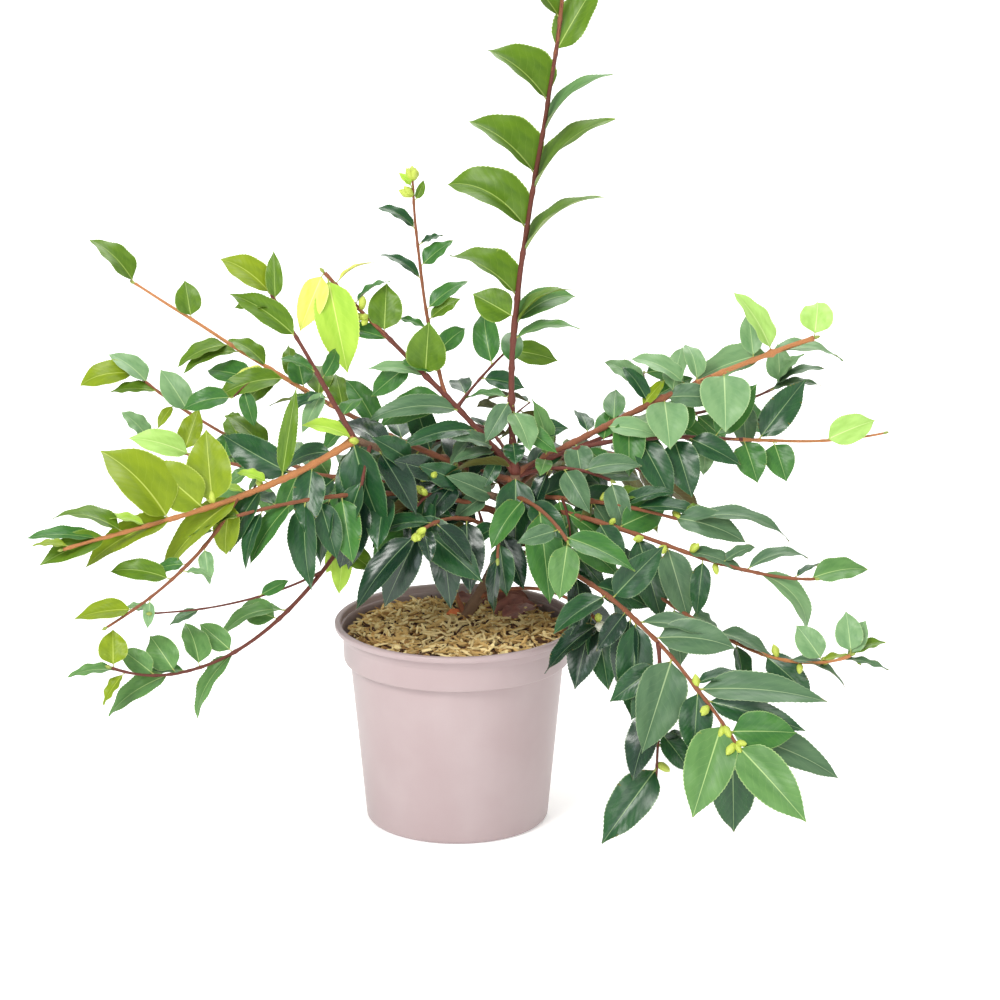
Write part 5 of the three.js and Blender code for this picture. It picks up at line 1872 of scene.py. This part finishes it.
@dataclass
class Mulch:
    """Bark chips and fallen leaves on the root ball, in millimetres.

    Tilt is in degrees and roll in radians. Big chips are longer and wider by two factors.
    A fallen leaf has a heading, a distance from the middle and a length.
    """

    effects: Effects
    shaper: LeafShaper
    edge_radius: float = 85.6
    edge_height: float = 147.0
    mound: float = 9.0
    ripple: float = 1.2
    count: int = 2600
    margin: float = 2.5
    sunk: float = 0.6
    long: tuple[float, float] = (5, 14)
    wide: tuple[float, float] = (1.1, 2.6)
    thick: tuple[float, float] = (0.7, 1.4)
    big_share: float = 0.12
    big: tuple[float, float] = (1.2, 1.9)
    tilt: float = 18
    roll: float = 0.45
    bend: tuple[float, float] = (-0.2, 0.4)
    red_place: tuple[float, float] = (-2.0, 15.0)
    red_size: Triple = (10.0, 5.0, 1.4)
    red_lift: float = 6.0
    fallen: tuple[Triple, ...] = (
        (52, 66, 46), (44, 60, 42), (60, 74, 40), (36, 72, 38), (78, 60, 34), (30, 54, 32)
    )
    fallen_lift: float = 7.0

    def height(self, radius: Array) -> Array:
        """The height of the root ball's top at a distance from its middle."""
        inward = np.clip(1 - radius / self.edge_radius, 0, 1)
        return self.edge_height + self.mound * np.sqrt(inward) + self.ripple * np.sin(9 * inward)

    def _chip(
        self, stock: Stock, at: Array, axes: Array, size: Array, bend: float,
        rng: np.random.Generator,
    ) -> None:
        """Adds one splintered chip.

        Args:
            stock: Where it goes.
            at: Its middle, in metres.
            axes: Its directions along, across and up.
            size: Its length, width and thickness in metres.
            bend: How far its middle stands above its ends, in metres.
            rng: Random numbers.
        """
        stations = np.array([-0.5, -0.3, 0.28, 0.5])
        corners = np.array([[-0.5, -0.5], [0.5, -0.5], [0.5, 0.5], [-0.5, 0.5]])
        taper = (rng.uniform(0.4, 1.0), 1.0, rng.uniform(0.85, 1.0), rng.uniform(0.35, 1.0))
        slant = rng.uniform(-0.7, 0.7, 2) * size[1]
        local = []
        for s, width, skew in zip(stations, taper, (slant[0], 0.0, 0.0, slant[1])):
            lift = bend * (1 - 4 * s * s)
            for across, up in corners + rng.uniform(-0.04, 0.04, (4, 2)):
                local.append([
                    s * size[0] + across * skew, across * width * size[1],
                    up * size[2] * (0.5 + 0.5 * width) + lift,
                ])
        points = at + np.array(local) @ axes
        quads, _ = ring_faces(len(stations), len(corners))
        faces = np.concatenate([quads, [[3, 2, 1, 0], [12, 13, 14, 15]]])
        u = np.tile(np.array([0.02, 0.35, 0.66, 0.98]), 4)
        v = np.repeat(stations + 0.5, 4)
        tile = np.stack([u, 0.02 + 0.96 * v], axis=-1)
        grain = np.stack([u * 8, v * size[0] / MM], axis=-1)
        stock.add(points, [(faces, 0, {"OFBake": tile, "Skin": grain})])

    def _strew(self, stock: Stock, kind: ChipKind, rng: np.random.Generator) -> None:
        """Lays one chip at a random place.

        Args:
            stock: Where it goes.
            kind: Its kind.
            rng: Random numbers.
        """
        radius = (self.edge_radius - self.margin) * math.sqrt(rng.random())
        angle = rng.uniform(0, 2 * math.pi)
        # Darker kinds have a lower highest, so they stay deep: painted shade between the chips.
        z = self.height(np.array(radius)) + rng.uniform(-self.sunk, kind.highest)
        at = np.array([radius * math.cos(angle), radius * math.sin(angle), float(z)]) * MM
        longer, wider = self.big if rng.random() < self.big_share else (1, 1)
        length, width = rng.uniform(*self.long) * longer, rng.uniform(*self.wide) * wider
        size = np.array([length, width, rng.uniform(*self.thick)]) * MM
        along = compass(math.degrees(rng.uniform(0, TURN)), rng.normal(0, self.tilt))
        reach = max(math.hypot(*(at + end * size[0] * along)[:2]) for end in (0.5, -0.5))
        if reach > self.edge_radius * MM:
            along = compass(math.degrees(angle) + 90, 0.0)
        across = unit(np.cross([0, 0, 1], along))
        across = turned(across[None], along[None], np.array([rng.normal(0, self.roll)]))[0]
        axes = np.stack([along, across, np.cross(along, across)])
        self._chip(stock, at, axes, size, rng.uniform(*self.bend) * MM, rng)

    def build(self) -> None:
        """Strews the chips, lays the fallen leaves and gives the root ball its compost."""
        rng = np.random.default_rng([SEED, 3])
        stocks = {name: Stock() for name in CHIPS}
        shares = [kind.share for kind in CHIPS.values()]
        for name in rng.choice(list(CHIPS), size=self.count, p=shares):
            self._strew(stocks[name], CHIPS[name], rng)
        top = float(self.height(np.hypot(*self.red_place)))
        spot = np.array([*self.red_place, top + self.red_lift]) * MM
        axes = np.stack([compass(0.0, 0.0), compass(90.0, 45.0), compass(270.0, 45.0)])
        stocks["red"] = Stock()
        self._chip(stocks["red"], spot, axes, np.array(self.red_size) * MM, 0.0, rng)
        for name, stock in stocks.items():
            finish = CHIPS[name].finish if name in CHIPS else RED_CHIP
            material = finish.dress(f"chip_{name}", self.effects)
            hand_over(stock.build(f"chips_{name}", [material], crease=18.0))
        self._fallen(rng)
        earth = EarthFinish().dress("compost", self.effects)
        for slot in frame["nodes"]["root_ball"].material_slots:
            slot.material = earth

    def _fallen(self, rng: np.random.Generator) -> None:
        """Lays a few dead leaves towards the back and right of the pot.

        Args:
            rng: Random numbers.
        """
        leaves = []
        for angle, radius, length in self.fallen:
            x, y = radius * math.cos(math.radians(angle)), radius * math.sin(math.radians(angle))
            axis = compass(rng.uniform(0, 360), rng.uniform(-6, 14))
            top = float(self.height(np.array(float(radius))))
            middle = np.array([x, y, top + self.fallen_lift]) * MM
            base = middle - axis * length * MM / 2
            normal = unit(np.array([rng.normal(0, 0.3), rng.normal(-0.9, 0.2), 1.0]))
            normal = unit(normal - axis * (normal @ axis))
            leaves.append(Leaf(
                base, base, axis, normal, length * MM, 0.46, math.radians(26),
                math.radians(30), rng.normal(0, 0.4), 0.9 * MM, DEAD,
            ))
        stock = Stock()
        self.shaper.fill(stock, leaves)
        top, back = FINISHES[DEAD]
        materials = [
            top.dress("leaf_dead", self.effects), back.dress("leaf_dead_under", self.effects)
        ]
        hand_over(stock.build("fallen_leaves", materials, crease=70.0))


# ---- studio


@dataclass(frozen=True)
class SoftLight:
    """A square soft light, in metres and watts."""

    name: str
    at: Triple
    aim: Triple
    size: float
    power: float
    colour: Colour

    def hang(self) -> None:
        """Puts the light in its place and turns it to its aim."""
        data = bpy.data.lights.new(self.name, "AREA")
        data.size, data.energy, data.color = self.size, self.power, self.colour
        light = put_in(self.name, data)
        light.location = self.at
        ahead = unit(np.array(self.aim) - np.array(self.at))
        heading = math.atan2(ahead[1], ahead[0])
        light.rotation_euler = (math.acos(-ahead[2]), 0.0, heading - math.pi / 2)


@dataclass
class Studio:
    """A pale floor, soft lights and the camera, in metres and degrees."""

    effects: Effects
    target: Triple = (0.0337, 0.0, 0.258)
    elevation: float = 16.4
    distance: float = 3.4
    lens: float = 158.0
    sensor: float = 36.0
    floor_size: float = 40.0
    air: float = 0.56
    lights: tuple[SoftLight, ...] = (
        SoftLight("key", (-1.5, -2.1, 2.6), (0.0, 0.0, 0.3), 1.3, 92.0, (1.0, 0.99, 0.96)),
        SoftLight("front", (0.5, -2.8, 0.95), (0.0, 0.0, 0.22), 1.2, 22.0, (1.0, 0.99, 0.97)),
        SoftLight("window", (-1.1, -2.4, 1.0), (0.0, 0.0, 0.28), 0.5, 5.0, (0.84, 0.92, 1.0)),
        SoftLight("fill", (2.2, -1.2, 1.4), (0.0, 0.0, 0.25), 1.8, 8.0, (1.0, 1.0, 1.0)),
        SoftLight("back", (0.6, 2.4, 2.2), (0.0, 0.0, 0.35), 1.8, 34.0, (1.0, 1.0, 0.96)),
        SoftLight("ceiling", (0.0, 2.5, 4.5), (0.0, 2.5, 0.0), 4.0, 150.0, (1.0, 1.0, 1.0)),
    )

    def build(self) -> None:
        """Sets up camera, floor, lights and background."""
        self._camera()
        self._floor()
        for light in self.lights:
            light.hang()
        world = bpy.data.worlds.new("studio_air")
        world.use_nodes = True
        air = world.node_tree.nodes["Background"]
        Sketch(world.node_tree).feed(air, {"Color": (1, 1, 1, 1), "Strength": self.air})
        bpy.context.scene.world = world
        bpy.context.scene.view_settings.view_transform = "Standard"
        bpy.context.scene.view_settings.look = "None"

    def _camera(self) -> None:
        """Places the camera before the plant, looking down on its middle."""
        data = bpy.data.cameras.new("view")
        data.lens, data.sensor_width = self.lens, self.sensor
        data.clip_end = 100.0
        camera = put_in("view", data)
        back = compass(270.0, self.elevation) * self.distance
        camera.location = np.array(self.target) + back
        camera.rotation_euler = (math.radians(90 - self.elevation), 0.0, 0.0)
        bpy.context.scene.camera = camera

    def _floor(self) -> None:
        """Lays a wide pale floor under the pot."""
        half = self.floor_size / 2
        mesh = bpy.data.meshes.new("floor")
        corners = [(-half, -half, 0), (half, -half, 0), (half, half, 0), (-half, half, 0)]
        mesh.from_pydata(corners, [], [(0, 1, 2, 3)])
        floor = put_in("floor", mesh)
        material, s, shader = new_material("pale_floor")
        place = s.add("ShaderNodeTexCoord").outputs["Object"]
        dust = self.effects.dust.place(s, {"Vector": place, "Spread": 0.2}).outputs
        colour = s.blend(
            s.ramp(dust["Cloud"], 0.3, 0.7), linear(250, 250, 250), linear(252, 252, 252)
        )
        s.feed(shader, {
            "Base Color": colour,
            "Roughness": 0.9,
            "Specular IOR Level": 0.1,
            "Emission Color": (1.0, 1.0, 1.0, 1.0),
            "Emission Strength": 0.22,
        })
        mesh.materials.append(material)


# ---- all together


def main() -> None:
    """Builds the studio, the pot, the mulch and the shrub."""
    logging.basicConfig(level=logging.INFO, format="%(name)s: %(message)s")
    effects = Effects()
    Studio(effects).build()
    Pot(effects).build()
    crown = Crown(effects)
    Mulch(effects, crown.shaper).build()
    crown.build_stems()
    crown.build_leaves()
    crown.build_stalks()
    crown.build_buds()


if __name__ == "__main__":
    main()
